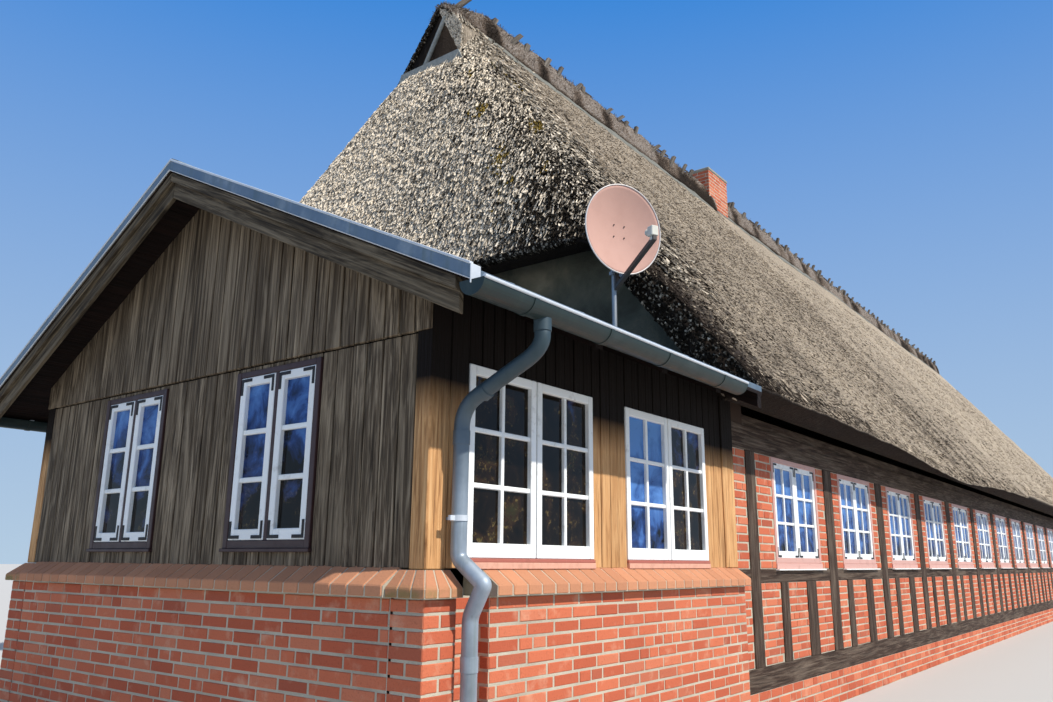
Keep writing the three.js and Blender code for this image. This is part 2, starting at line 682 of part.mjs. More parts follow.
// Stepped bargeboards under the verge of the annex roof
function bargeboard(endY, pitch, side) {
  const ridgeY = ANNEX_RIDGE_Y + side * GAP / 2;
  const band = (top, bottom) => {
    const at = (y, drop) => ANNEX_RIDGE_Z - pitch * Math.abs(ANNEX_RIDGE_Y - y) - drop;
    const points = [
      [endY, at(endY, bottom)],
      [ridgeY, at(ridgeY, bottom)],
      [ridgeY, at(ridgeY, top)],
      [endY, at(endY, top)],
    ];
    return side < 0 ? points : points.reverse();
  };
  const under = ANNEX_ROOF + GAP;
  const x0 = ANNEX_VERGE_X + BARGE_INSET;
  const upper = prismX(band(under, BARGE_UPPER), x0, x0 + BARGE_STEP + BARGE_THICK);
  const lower = prismX(band(BARGE_UPPER - LAP, BARGE_LOWER), x0 + BARGE_STEP, x0 + BARGE_STEP + BARGE_THICK);
  return solid(upper).add(solid(lower));
}
piece('bargeboard_front', geometryOf(bargeboard(BARGE_END_Y, ANNEX_PITCH, -1)), 'timber');
piece('bargeboard_back', geometryOf(
  bargeboard(ANNEX_BACK_EAVE_Y - BARGE_BACK_END, ANNEX_BACK_PITCH, 1),
), 'timber');

// Half-round gutters with closed ends
function gutterBody(x0, x1) {
  const arc = (radius) => Array.from({ length: GUTTER_STEPS + 1 }, (_, i) => {
    const angle = Math.PI + Math.PI * i / GUTTER_STEPS;
    return [radius * Math.cos(angle), radius * Math.sin(angle)];
  });
  const outer = solid(prismX(arc(GUTTER_RADIUS), x0, x1));
  const within = GUTTER_RADIUS - GUTTER_WALL;
  const inner = solid(prismX(
    [...arc(within), [within, THROUGH], [-within, THROUGH]], x0 + GUTTER_WALL, x1 - GUTTER_WALL,
  ));
  return outer.subtract(inner);
}
const gutterY = ANNEX_EAVE_Y - GUTTER_OUT;
const gutterZ = annexRoofUnder(ANNEX_EAVE_Y) - GAP;
piece('gutter_front', geometryOf(
  gutterBody(ANNEX_VERGE_X, GUTTER_END_X).translate([0, gutterY, gutterZ]),
), 'zinc', 0.4, 0.7);
piece('gutter_back', geometryOf(
  gutterBody(ANNEX_VERGE_X, annexX1)
    .translate([0, ANNEX_BACK_EAVE_Y + GUTTER_OUT, annexRoofUnder(ANNEX_BACK_EAVE_Y) - GAP]),
), 'zinc', 0.4, 0.7);

// Downpipes: a swan neck under the eave, an elbow over the sill
function downpipe(points) {
  const path = new THREE.CurvePath();
  const corners = points.map(([x, y, z]) => new THREE.Vector3(x, y, z));
  let last = corners[0];
  for (let i = 1; i < corners.length - 1; i += 1) {
    const before = corners[i].clone().lerp(corners[i - 1], PIPE_BEND / corners[i].distanceTo(corners[i - 1]));
    const after = corners[i].clone().lerp(corners[i + 1], PIPE_BEND / corners[i].distanceTo(corners[i + 1]));
    path.add(new THREE.LineCurve3(last, before));
    path.add(new THREE.QuadraticBezierCurve3(before, corners[i], after));
    last = after;
  }
  path.add(new THREE.LineCurve3(last, corners[corners.length - 1]));
  const section = new THREE.Shape(Array.from({ length: PIPE_SIDES }, (_, i) => (
    new THREE.Vector2(
      PIPE_RADIUS * Math.cos(2 * Math.PI * i / PIPE_SIDES),
      PIPE_RADIUS * Math.sin(2 * Math.PI * i / PIPE_SIDES),
    )
  )));
  return new THREE.ExtrudeGeometry(section, { extrudePath: path, steps: PIPE_STEPS, bevelEnabled: false });
}
const neckTop = gutterZ - GUTTER_RADIUS - GAP;
const frontPipe = [
  [170, gutterY, neckTop],
  [170, gutterY, 2290],
  [150, -75, 2050],
  [150, -75, 1310],
  [168, -225, 1190],
  [190, -125, 1040],
  [190, -125, 0],
];
piece('downpipe_front', downpipe(frontPipe), 'zinc', 0.4, 0.7);

// Windows of the annex: an outer frame and mullion, and a sheet of glass behind
function windowFrame(width, sill, head) {
  const half = (width - 3 * FRAME) / 2;
  const inside = [sill + FRAME, head - FRAME];
  return {
    ring: rectangle(FRAME_FIT, width - FRAME_FIT, sill + FRAME_FIT, head - FRAME_FIT),
    holes: [
      rectangle(FRAME, FRAME + half, ...inside),
      rectangle(2 * FRAME + half, width - FRAME, ...inside),
    ],
  };
}

function glassSheet(width, sill, head) {
  return rectangle(FRAME / 2, width - FRAME / 2, sill + FRAME / 2, head - FRAME / 2);
}

function sideWindow(name, x, faceY, inward) {
  const { ring, holes } = windowFrame(SIDE_WINDOW.width, SIDE_WINDOW.sill, SIDE_WINDOW.head);
  const y0 = faceY - inward * FRAME_PROUD;
  const y1 = y0 + inward * FRAME_DEPTH;
  const low = Math.min(y0, y1);
  const high = Math.max(y0, y1);
  const frame = geometryOf(piercedY(solid(prismY(ring, low, high)), holes, low, high));
  piece(name, frame.translate(x, 0, 0), 'window', 0.5);
  const pane = glassSheet(SIDE_WINDOW.width, SIDE_WINDOW.sill, SIDE_WINDOW.head);
  const g0 = y1 + inward * GAP;
  const g1 = g0 + inward * GLASS;
  piece(`${name}_glass`, prismY(pane, Math.min(g0, g1), Math.max(g0, g1)).translate(x, 0, 0), 'glass', 0.08);
}

SIDE_WINDOWS_X.forEach((x, n) => sideWindow(`annex_front_window_${n + 1}`, x, 0, 1));
SIDE_WINDOWS_X.forEach((x, n) => sideWindow(`annex_back_window_${n + 1}`, x, annexBack, -1));
GABLE_WINDOWS_Y.forEach((y, n) => {
  const { ring, holes } = windowFrame(GABLE_WINDOW.width, GABLE_WINDOW.sill, GABLE_WINDOW.head);
  const name = `annex_gable_window_${n + 1}`;
  const low = -FRAME_PROUD;
  const high = FRAME_DEPTH - FRAME_PROUD;
  const frame = geometryOf(piercedX(solid(prismX(ring, low, high)), holes, low, high));
  piece(name, frame.translate(0, y, 0), 'window', 0.5);
  const pane = glassSheet(GABLE_WINDOW.width, GABLE_WINDOW.sill, GABLE_WINDOW.head);
  const g0 = FRAME_DEPTH - FRAME_PROUD + GAP;
  piece(`${name}_glass`, prismX(pane, g0, g0 + GLASS).translate(0, y, 0), 'glass', 0.08);
});

// Satellite dish: a shallow oval bowl, the mast behind it on the annex roof,
// and one arm that clamps to the mast, carries the bowl and holds the feed
const aim = new THREE.Vector3(
  -Math.cos(DISH.turn) * Math.cos(DISH.tilt),
  -Math.sin(DISH.turn) * Math.cos(DISH.tilt),
  Math.sin(DISH.tilt),
);
const aside = new THREE.Vector3().crossVectors(aim, new THREE.Vector3(0, 0, 1)).normalize();
const dishPlace = new THREE.Matrix4()
  .makeBasis(aside, aim, new THREE.Vector3().crossVectors(aside, aim))
  .setPosition(DISH.centre);

function dishBowl() {
  const radius = DISH.width / 2;
  const face = steps(0, radius, DISH.rings).map((r) => (
    new THREE.Vector2(r, DISH.depth * ((r / radius) ** 2 - 1))
  ));
  const rear = face.map((p) => new THREE.Vector2(p.x, p.y - DISH.thick));
  return new THREE.LatheGeometry([...rear, ...face.reverse()], DISH.sides)
    .scale(1, 1, DISH.height / DISH.width)
    .applyMatrix4(dishPlace);
}
const bowl = solid(dishBowl());
piece('dish', geometryOf(bowl), 'dish', 0.6);

const mastPoint = DISH.centre.clone().addScaledVector(aim, -MAST_BEHIND);
const roofUnderMast = ANNEX_RIDGE_Z - ANNEX_PITCH * (ANNEX_RIDGE_Y - mastPoint.y);
function mastBody(radius) {
  const foot = roofUnderMast - MAST_SUNK;
  const top = mastPoint.z + MAST_ABOVE;
  return solid(new THREE.CylinderGeometry(radius, radius, top - foot, MAST_SIDES)
    .rotateX(Math.PI / 2)
    .translate(mastPoint.x, mastPoint.y, (top + foot) / 2));
}
const roofBed = deck(ANNEX_EAVE_Y, ANNEX_PITCH, -1).translate([0, 0, GAP]);
piece('dish_mast', geometryOf(mastBody(MAST_RADIUS).subtract(roofBed)), 'steel', 0.4, 0.7);

function dishArm() {
  const legBack = -DISH.depth - DISH.thick - ARM.behind;
  const legFront = legBack + ARM.leg;
  const bottom = -DISH.height / 2 - ARM.below;
  const side = prismX([
    [legBack, 0],
    [legBack, bottom],
    [FEED.out, -FEED.drop - ARM.width / 2],
    [FEED.out, -FEED.drop + ARM.width / 2],
    [legFront, bottom + ARM.elbow],
    [legFront, 0],
  ], -ARM.width / 2, ARM.width / 2);
  const clamp = block(
    -CLAMP.width / 2, CLAMP.width / 2, -CLAMP.behind, CLAMP.seat - DISH.depth - DISH.thick,
    -CLAMP.height / 2, CLAMP.height / 2,
  );
  const feed = block(
    -FEED.width / 2, FEED.width / 2, FEED.out - FEED.depth, FEED.out + FEED.proud,
    -FEED.drop - FEED.below, -FEED.drop - FEED.below + FEED.height,
  );
  return [side, clamp, feed]
    .map((geometry) => solid(geometry.applyMatrix4(dishPlace)))
    .reduce((whole, part) => whole.add(part))
    .subtract(mastBody(MAST_RADIUS + GAP))
    .subtract(bowl.translate(aim.clone().multiplyScalar(-GAP).toArray()))
    .subtract(bowl);
}
piece('dish_arm', geometryOf(dishArm()), 'steel', 0.4, 0.7);

// Ground point under the middle of the outer box
const extent = new THREE.Box3().setFromObject(house);
const centre = extent.getCenter(new THREE.Vector3());
house.position.set(-centre.x, -centre.y, 0);

const group = new THREE.Group();
group.add(house);

export default group;
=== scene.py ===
"""Long thatched farmhouse with a boarded annex: every finished surface, built round its frame.

Shapes are worked out in house coordinates, in metres: X runs along the house from the annex gable to
the far hip, Y from the long side in view to the back, and Z up from the ground. SHIFT turns them into
the frame's own coordinates when a mesh is made.
"""

import math

import bpy
import numpy as np
from bpy.props import FloatProperty, FloatVectorProperty, IntProperty, PointerProperty
from mathutils import Matrix, Vector


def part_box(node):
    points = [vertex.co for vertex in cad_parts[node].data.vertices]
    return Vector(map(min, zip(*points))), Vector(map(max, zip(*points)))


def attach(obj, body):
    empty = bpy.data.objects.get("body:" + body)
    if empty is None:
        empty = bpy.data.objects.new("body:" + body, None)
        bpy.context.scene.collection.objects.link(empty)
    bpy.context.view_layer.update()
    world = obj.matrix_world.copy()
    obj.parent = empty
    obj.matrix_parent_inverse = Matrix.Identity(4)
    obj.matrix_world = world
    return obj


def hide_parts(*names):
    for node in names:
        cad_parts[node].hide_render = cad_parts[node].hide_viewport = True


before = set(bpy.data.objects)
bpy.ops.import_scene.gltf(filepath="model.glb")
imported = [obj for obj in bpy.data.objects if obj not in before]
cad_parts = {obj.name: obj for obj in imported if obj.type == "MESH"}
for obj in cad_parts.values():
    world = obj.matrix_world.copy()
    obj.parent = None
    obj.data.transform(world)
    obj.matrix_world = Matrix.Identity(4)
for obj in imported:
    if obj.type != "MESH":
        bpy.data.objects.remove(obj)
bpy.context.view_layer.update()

bl_info = {
    "name": "Thatched cottage",
    "version": (1, 0, 0),
    "blender": (4, 5, 0),
    "location": "3D View > Sidebar > Cottage",
    "description": "Finishes a long thatched farmhouse with a boarded annex",
    "category": "Add Mesh",
}

# Main house, outer faces of the walls
HOUSE_X0 = 3.55
HOUSE_X1 = 35.45
HOUSE_WIDTH = 8.2
RIDGE_Y = HOUSE_WIDTH / 2
WALL = 0.24
WALL_TOP = 2.44
FLOOR_TOP = 0.45
BAY = 1.83
BAYS = 17
FIRST_WINDOW_X = 4.38
WINDOW_WIDTH = 1.15
WINDOW_SILL = 1.30
WINDOW_HEAD = 2.23
NEAR_END_WINDOW_Y = 5.9

# Thatch
THATCH = 0.28
EAVE_Y = -0.52
EAVE_Z = 2.563
APEX_Z = 8.6
VERGE_X = 2.95
HALF_HIP_Z = 4.15
HALF_HIP_RISE = 3.0
OWL_X = 4.12
FAR_EAVE_X = 35.9
FAR_RIDGE_X = 31.9
RIDGE_ROUND = 0.35
HIP_ROUND = 1.1
INNER_ROUND = 0.7
BACK_ARRIS_SHARPER = 0.55
OWL_LEDGE = 0.08
OWL_FLOOR_X = OWL_X + OWL_LEDGE
HIP_END_X = 4.08
HIP_RUN_X = 4.6
HOLE_SIDE_Y = 3.76
HOLE_TOP = (4.12, 8.43)
HOLE_LEFT, HOLE_RIGHT = 1.19, 2.0
OWL_SILL = (7.40, 7.69)
EAVE_CUT_FALL = 0.25
ARCH_SOFFIT_Z = HALF_HIP_Z - 0.06
ARCH_DEPTH = 0.42
SLOPE = (APEX_Z - EAVE_Z) / (RIDGE_Y - EAVE_Y)
FAR_SLOPE = (APEX_Z - EAVE_Z) / (FAR_EAVE_X - FAR_RIDGE_X)
ROLL_HALF_WIDTH = 0.2
ROLL_THICK = 0.33
ROLL_EDGE = 0.07
ROLL_X0 = 4.09
ROLL_X1 = 32.05

# Unevenness of the thatch, each lump as (height, cell)
SAG_X, SAG_REACH, SAG_DEPTH = 10, 2.6, 0.09
NEWER_PROUD = 0.05
LUMPS = ((0.020, 0.85), (0.010, 0.23), (0.006, 0.08))
RUNNELS = 0.008

# Tones of the thatch, from 0 dark to 1 bleached, and where its shades begin or end
MIDDLE_TONE = 0.66
# Painted shade on the back slope's cut end at the owl hole
CUT_TONE = 0.12
CUT_FOOT_Z = 7.3
STREAKS_X, STREAKS_Y = 7.5, 2.6
ARRIS_END_X, ARRIS_TOP_Z, ARRIS_REACH = 9, 7.5, 0.75
# Where the painted shade past the half hip begins, and how far up it reaches
HIP_SHADE_X, HIP_SHADE_Y = 4.2, 3.2
# How far up the front slope the painted shade by the verge reaches
VERGE_SHADE_Y = 2.4
LICHEN_Y = 3.4

# Gap that a seated part keeps to the part that carries it
SEAT = 0.0003

# Limits of the thatch's formulas: past an upright cut, above every slope, and a cut's run on the grid
EDGE = 0.001
NO_HIP = 99.0
CLIFF = 0.005

# Chimney
CHIMNEY_X = (11.75, 12.61)
CHIMNEY_Y = (3.82, 4.38)
CHIMNEY_TOP = 9.02
CHIMNEY_CAP = 0.06
CHIMNEY_LIP = 0.012
CHIMNEY_FOOT = 8.1

# Annex
ANNEX_WIDTH = 4.2
ANNEX_WALL = 0.14
ANNEX_RIDGE_Y = 2.11
ANNEX_RIDGE_Z = 3.84
ANNEX_EAVE_Y = -0.54
ANNEX_BACK_EAVE_Y = 4.6
ANNEX_PITCH = 0.481
ANNEX_BACK_PITCH = 0.556
ANNEX_ROOF = 0.07
ANNEX_VERGE_X = -0.35
BARGE_UPPER = 0.135
BARGE_LOWER = 0.24
PLINTH_FACE = -0.06
PLINTH_TOP = 1.126
SILL_OUT = 0.115
SILL_FRONT_Z = 1.182
SILL_THICK = 0.056
PIER = 0.225
PIER_INNER = PLINTH_FACE + PIER
RECESS_END = 0.41
RECESS_FACE = 0.04
CAP_OVERHANG = 0.042
CAP_EDGE_Z = 1.172
CAP_EDGE = 0.045
CAP_TOP_Z = 1.257
POST = 0.11
BOARD_FOOT_Z = 1.262
SIDE_WINDOWS_X = (0.284, 1.862)
SIDE_WINDOW = (1.177, 1.311, 2.313)
GABLE_WINDOWS_Y = (0.855, 2.45)
GABLE_WINDOW = (0.793, 1.356, 2.409)
GUTTER_RADIUS = 0.072
GUTTER_OUT = 0.02
GUTTER_END_X = 2.45
PIPE_RADIUS = 0.04

# The camera stands at the foot of the annex, at head height
CAMERA_PLACE = (-3.00894, -2.90123, 1.30)
CAMERA_YAW = 37.4826
CAMERA_PITCH = 13.8725
CAMERA_ROLL = 0.49742
CAMERA_LENS = 29.067

SHIFT = np.array([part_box("near_end_wall")[0].x - HOUSE_X0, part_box("front_wall")[0].y, 0.0])


def paint(red, green, blue):
    """Screen colour from 0 to 255 turned into the linear colour that a shader takes."""
    part = np.array([red, green, blue]) / 255
    linear = np.where(part <= 0.04045, part / 12.92, ((part + 0.055) / 1.055) ** 2.4)
    return tuple(float(x) for x in linear)


def size_property(name, description, default):
    """A length that a user can change."""
    return FloatProperty(name=name, description=description, default=default, unit="LENGTH")


def colour_property(name, colour):
    """A colour that a user can change, with that default."""
    return FloatVectorProperty(
        name=name, description=f"{name} of the cottage", subtype="COLOR", size=3, min=0, max=1,
        default=paint(*colour),
    )


class CottageSizes(bpy.types.PropertyGroup):
    """Sizes of what is laid, nailed or bundled onto the house."""

    brick_length: size_property("Brick length", "Length of a brick's face", 0.233)
    brick_joint: size_property("Mortar joint", "Width of the joints between bricks", 0.013)
    course: size_property("Course", "Height of a brick course with its joint", 0.0685)
    gable_board: size_property("Gable board", "Width of the boards on the annex gable", 0.115)
    side_board: size_property("Side board", "Width of the boards on the annex side", 0.1)
    reed_length: size_property("Reed end", "Length of a reed bundle's loose end", 0.085)
    hip_reeds: IntProperty(
        name="Reeds on the hip", description="Loose reed ends on the half hip", default=34000, min=0,
    )
    slope_reeds: IntProperty(
        name="Reeds on the slope", description="Loose reed ends on the near slope", default=36000, min=0,
    )


class CottageColours(bpy.types.PropertyGroup):
    """Colours of the main finishes."""

    reed_light: colour_property("Light reed", (204, 188, 166))
    reed_dark: colour_property("Dark reed", (60, 51, 44))
    heather: colour_property("Heather", (104, 90, 78))
    brick: colour_property("Brick", (182, 92, 64))
    mortar: colour_property("Mortar", (196, 188, 168))
    gable_boards: colour_property("Gable boards", (98, 84, 67))
    side_boards: colour_property("Side boards", (206, 154, 102))
    timber: colour_property("Timber", (66, 50, 40))
    zinc: colour_property("Zinc", (114, 130, 144))
    window_paint: colour_property("Window paint", (242, 244, 242))
    dish: colour_property("Dish", (190, 150, 136))
    stucco: colour_property("Stucco", (116, 114, 98))


def smooth_min(a, b, rounding):
    """The lower of two heights, with the crossing rounded off over that height."""
    near = np.maximum(rounding - np.abs(a - b), 0) / rounding
    return np.minimum(a, b) - near * near * rounding / 4


def limit(value):
    """Holds a value between 0 and 1."""
    return np.clip(value, 0, 1)


def coords(*columns):
    """Rows of coordinates, from one array or one number for each axis."""
    return np.stack(np.broadcast_arrays(*columns), -1)


def extruded(profile, *places):
    """The same (y, z) outline at each place along X."""
    return [coords(x, *np.transpose(profile)) for x in places]


def repeat_faces(faces, count):
    """One body's faces repeated for many bodies that follow each other in the list of vertices."""
    faces = np.array(faces)
    return (faces + (faces.max() + 1) * np.arange(count)[:, None, None]).reshape(-1, faces.shape[1])


CORNERS = np.array([[i, j, k] for i in (0, 1) for j in (0, 1) for k in (0, 1)])
BOX_FACES = ((0, 1, 3, 2), (4, 6, 7, 5), (0, 4, 5, 1), (2, 3, 7, 6), (0, 2, 6, 4), (1, 5, 7, 3))
SPIKE_FACES = ((0, 2, 1), (0, 3, 2), (0, 1, 3), (1, 2, 3))
TWIG_FACES = ((0, 1, 2), (0, 3, 1), (1, 3, 2), (2, 3, 0))
GRAIN_RANGE = 50


def wander(points, cell, seed):
    """Smooth noise from -1 to 1: random values at the corners of cells, blended by an S curve."""
    values = np.random.default_rng(seed).uniform(-1, 1, 4096)
    scaled = np.asarray(points, float) / cell
    base = np.floor(scaled).astype(np.int64)
    share = scaled - base
    share = share * share * (3 - 2 * share)
    total = 0
    for corner in CORNERS:
        at = base + corner
        key = (at[..., 0] * 73856093 ^ at[..., 1] * 19349663 ^ at[..., 2] * 83492791) & 4095
        weight = np.prod(np.where(corner, share, 1 - share), axis=-1)
        total = total + weight * values[key]
    return total


def volume(points, faces):
    """Signed volume inside closed faces, each cut into a fan of triangles."""
    corner = points[faces] - points.mean(0)
    fan = np.einsum("ij,ikj->ik", corner[:, 0], np.cross(corner[:, 1:-1], corner[:, 2:]))
    return fan.sum() / 6


class Shape:
    """Closed bodies gathered as whole arrays and made into one mesh.

    Each vertex carries a tint, which varies the finish from body to body, and a patch, which says how
    much of a second finish shows. Each face corner carries a grain coordinate (across, along).
    """

    def __init__(self, seed=1):
        self.points, self.faces, self.uvs, self.tints, self.patches = [], [], [], [], []
        self.total = 0
        self.random = np.random.default_rng(seed)

    def add(self, points, faces, grain=None, tint=0.5, patch=0.0, place=None):
        """Adds closed faces, turned to point out; place is (rows of local axes, origin)."""
        points = np.asarray(points, float)
        if place is not None:
            points = points @ place[0] + place[1]
        groups = faces if isinstance(faces, list) else [faces]
        groups = [np.asarray(group) for group in groups]
        if sum(volume(points, group) for group in groups) < 0:
            groups = [group[:, ::-1] for group in groups]
        grain = points[:, :2] if grain is None else grain
        for group in groups:
            self.faces.append(group + self.total)
            self.uvs.append(grain[group].reshape(-1, 2))
        self.points.append(points)
        self.tints.append(np.broadcast_to(tint, len(points)).astype(float))
        self.patches.append(np.broadcast_to(patch, len(points)).astype(float))
        self.total += len(points)

    def alike(self, points, faces, across, along, tint=None, place=None):
        """Bodies (n, k, 3) with the same faces, each with its own tint and its own stretch of grain."""
        count, k = points.shape[:2]
        across = across + self.random.uniform(0, GRAIN_RANGE, (count, 1))
        along = along + self.random.uniform(0, GRAIN_RANGE, (count, 1))
        tint = self.random.uniform(0, 1, count) if tint is None else np.broadcast_to(tint, count)
        grain = coords(across, along).reshape(-1, 2)
        self.add(points.reshape(-1, 3), repeat_faces(faces, count), grain, np.repeat(tint, k), 0.0, place)

    def boxes(self, low, high, grain=2, tint=None, place=None, shear=None):
        """Boxes from their low and high corners, each with its own stretch of grain along one axis.

        shear, if given, is a function that moves the boxes' corners (n, 8, 3) before they are placed.
        """
        low, high = np.atleast_2d(low).astype(float), np.atleast_2d(high).astype(float)
        corners = low[:, None] + (high - low)[:, None] * CORNERS[None]
        others = [axis for axis in range(3) if axis != grain]
        across, along = corners[..., others].sum(-1), corners[..., grain].copy()
        if shear:
            shear(corners)
        self.alike(corners, BOX_FACES, across, along, tint, place)

    def bricks(self, low, high, place, chamfer=0.004):
        """Bricks with worn front edges: a back, a shoulder a little short of the face, and an inset face."""
        low, high = np.atleast_2d(low).astype(float), np.atleast_2d(high).astype(float)
        if not len(low):
            return
        ring = np.array([[0, 0], [0, 1], [1, 1], [1, 0]])
        size = high - low
        flat = low[:, None, [0, 2]] + size[:, None, [0, 2]] * ring[None]
        middle = flat.mean(1, keepdims=True)
        inset = middle + (flat - middle) * (1 - 2 * chamfer / size[:, None, [0, 2]])
        inset = inset + self.random.uniform(-0.0015, 0.0015, inset.shape)
        layers = []
        for plan, depth in ((flat, low[:, 1]), (flat, high[:, 1] - chamfer), (inset, high[:, 1])):
            layers.append(coords(plan[..., 0], depth[:, None], plan[..., 1]))
        points = np.concatenate(layers, 1)
        quads = [[3, 2, 1, 0], [8, 9, 10, 11]]
        for i in range(4):
            j = (i + 1) % 4
            quads += [[i, j, 4 + j, 4 + i], [4 + i, 4 + j, 8 + j, 8 + i]]
        self.alike(points, quads, points[..., 0] + points[..., 1], points[..., 2], None, place)

    def loft(self, sections, tint=0.5, patch=0.0, ring=False, place=None):
        """Skin over closed sections (n, k, 3), with flat caps, or joined end to end where ring is true."""
        sections = np.asarray(sections, float)
        n, k = sections.shape[:2]
        turns = n if ring else n - 1
        i, j = np.meshgrid(np.arange(turns), np.arange(k), indexing="ij")
        following = (i + 1) % n
        beside = (j + 1) % k
        quads = coords(i * k + j, i * k + beside, following * k + beside, following * k + j)
        groups = [quads.reshape(-1, 4)]
        if not ring:
            last = (n - 1) * k
            groups.append(np.array([np.arange(k)[::-1], last + np.arange(k)]))
        edge = np.linalg.norm(np.diff(sections, axis=1, append=sections[:, :1]), axis=-1)
        across = np.cumsum(edge, 1) - edge
        step = np.linalg.norm(np.diff(sections.mean(1), axis=0), axis=-1)
        along = np.broadcast_to(np.concatenate([[0], np.cumsum(step)])[:, None], (n, k))
        grain = coords(across, along).reshape(-1, 2)
        self.add(sections.reshape(-1, 3), groups, grain, tint, patch, place)

    def tube(self, path, radius, sides=12, tint=0.5):
        """Round section carried along a path, turned as little as possible from point to point."""
        path = np.asarray(path, float)
        ahead = np.gradient(path, axis=0)
        ahead /= np.linalg.norm(ahead, axis=1, keepdims=True)
        side = np.cross(ahead[0], [0.0, 0.0, 1.0] if abs(ahead[0][2]) < 0.9 else [1.0, 0.0, 0.0])
        frames = []
        for direction in ahead:
            side = side - direction * (side @ direction)
            side /= np.linalg.norm(side)
            frames.append(side)
        frames = np.array(frames)
        beside = np.cross(ahead, frames)
        angle = np.linspace(0, 2 * np.pi, sides, endpoint=False)
        radii = np.broadcast_to(radius, len(path))[:, None, None]
        cosine, sine = np.cos(angle)[:, None], np.sin(angle)[:, None]
        circle = cosine * frames[:, None] + sine * beside[:, None]
        self.loft(path[:, None] + radii * circle, tint)

    def build(self, name, finish, slot, *nodes, smooth=False, bevel=0.0):
        """Makes the mesh, puts its finish on, and seats it in place of the named nodes."""
        points = np.concatenate(self.points) + SHIFT
        sizes = np.concatenate([np.full(len(group), group.shape[1]) for group in self.faces])
        loops = np.concatenate([group.ravel() for group in self.faces])
        mesh = bpy.data.meshes.new(name)
        mesh.vertices.add(len(points))
        mesh.vertices.foreach_set("co", points.astype(np.float32).ravel())
        mesh.loops.add(len(loops))
        mesh.loops.foreach_set("vertex_index", loops.astype(np.int32))
        mesh.polygons.add(len(sizes))
        mesh.polygons.foreach_set("loop_start", (np.cumsum(sizes) - sizes).astype(np.int32))
        mesh.polygons.foreach_set("use_smooth", np.full(len(sizes), smooth))
        mesh.update(calc_edges=True)
        grain = np.concatenate(self.uvs).astype(np.float32).ravel()
        mesh.uv_layers.new(name="Grain").data.foreach_set("uv", grain)
        for label, values in (("tint", self.tints), ("patch", self.patches)):
            layer = mesh.attributes.new(label, "FLOAT", "POINT")
            layer.data.foreach_set("value", np.concatenate(values).astype(np.float32))
        if mesh.validate():
            raise RuntimeError(f"{name} has faces that are not sound")
        mesh.materials.append(FINISHES[finish])
        obj = bpy.data.objects.new(name, mesh)
        bpy.context.scene.collection.objects.link(obj)
        if bevel:
            worn = obj.modifiers.new("Worn edges", "BEVEL")
            worn.width = bevel
            worn.segments = 1
            worn.limit_method = "ANGLE"
        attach(obj, "root")
        if nodes:
            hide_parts(*nodes)
        return obj


def facing(along, out, origin):
    """A wall's own axes: along it, out of it and up, from an origin on its outer face."""
    return np.array([along, out, (0, 0, 1)], float), np.array(origin, float)


FRONT = facing((1, 0, 0), (0, -1, 0), (0, 0, 0))
BACK = facing((1, 0, 0), (0, 1, 0), (0, HOUSE_WIDTH, 0))
FAR_END = facing((0, 1, 0), (1, 0, 0), (HOUSE_X1, 0, 0))
NEAR_END = facing((0, 1, 0), (-1, 0, 0), (HOUSE_X0, 0, 0))
ANNEX_FRONT = FRONT
ANNEX_BACK = facing((1, 0, 0), (0, 1, 0), (0, ANNEX_WIDTH, 0))
ANNEX_GABLE = facing((0, 1, 0), (-1, 0, 0), (0, 0, 0))


FINISHES = {}


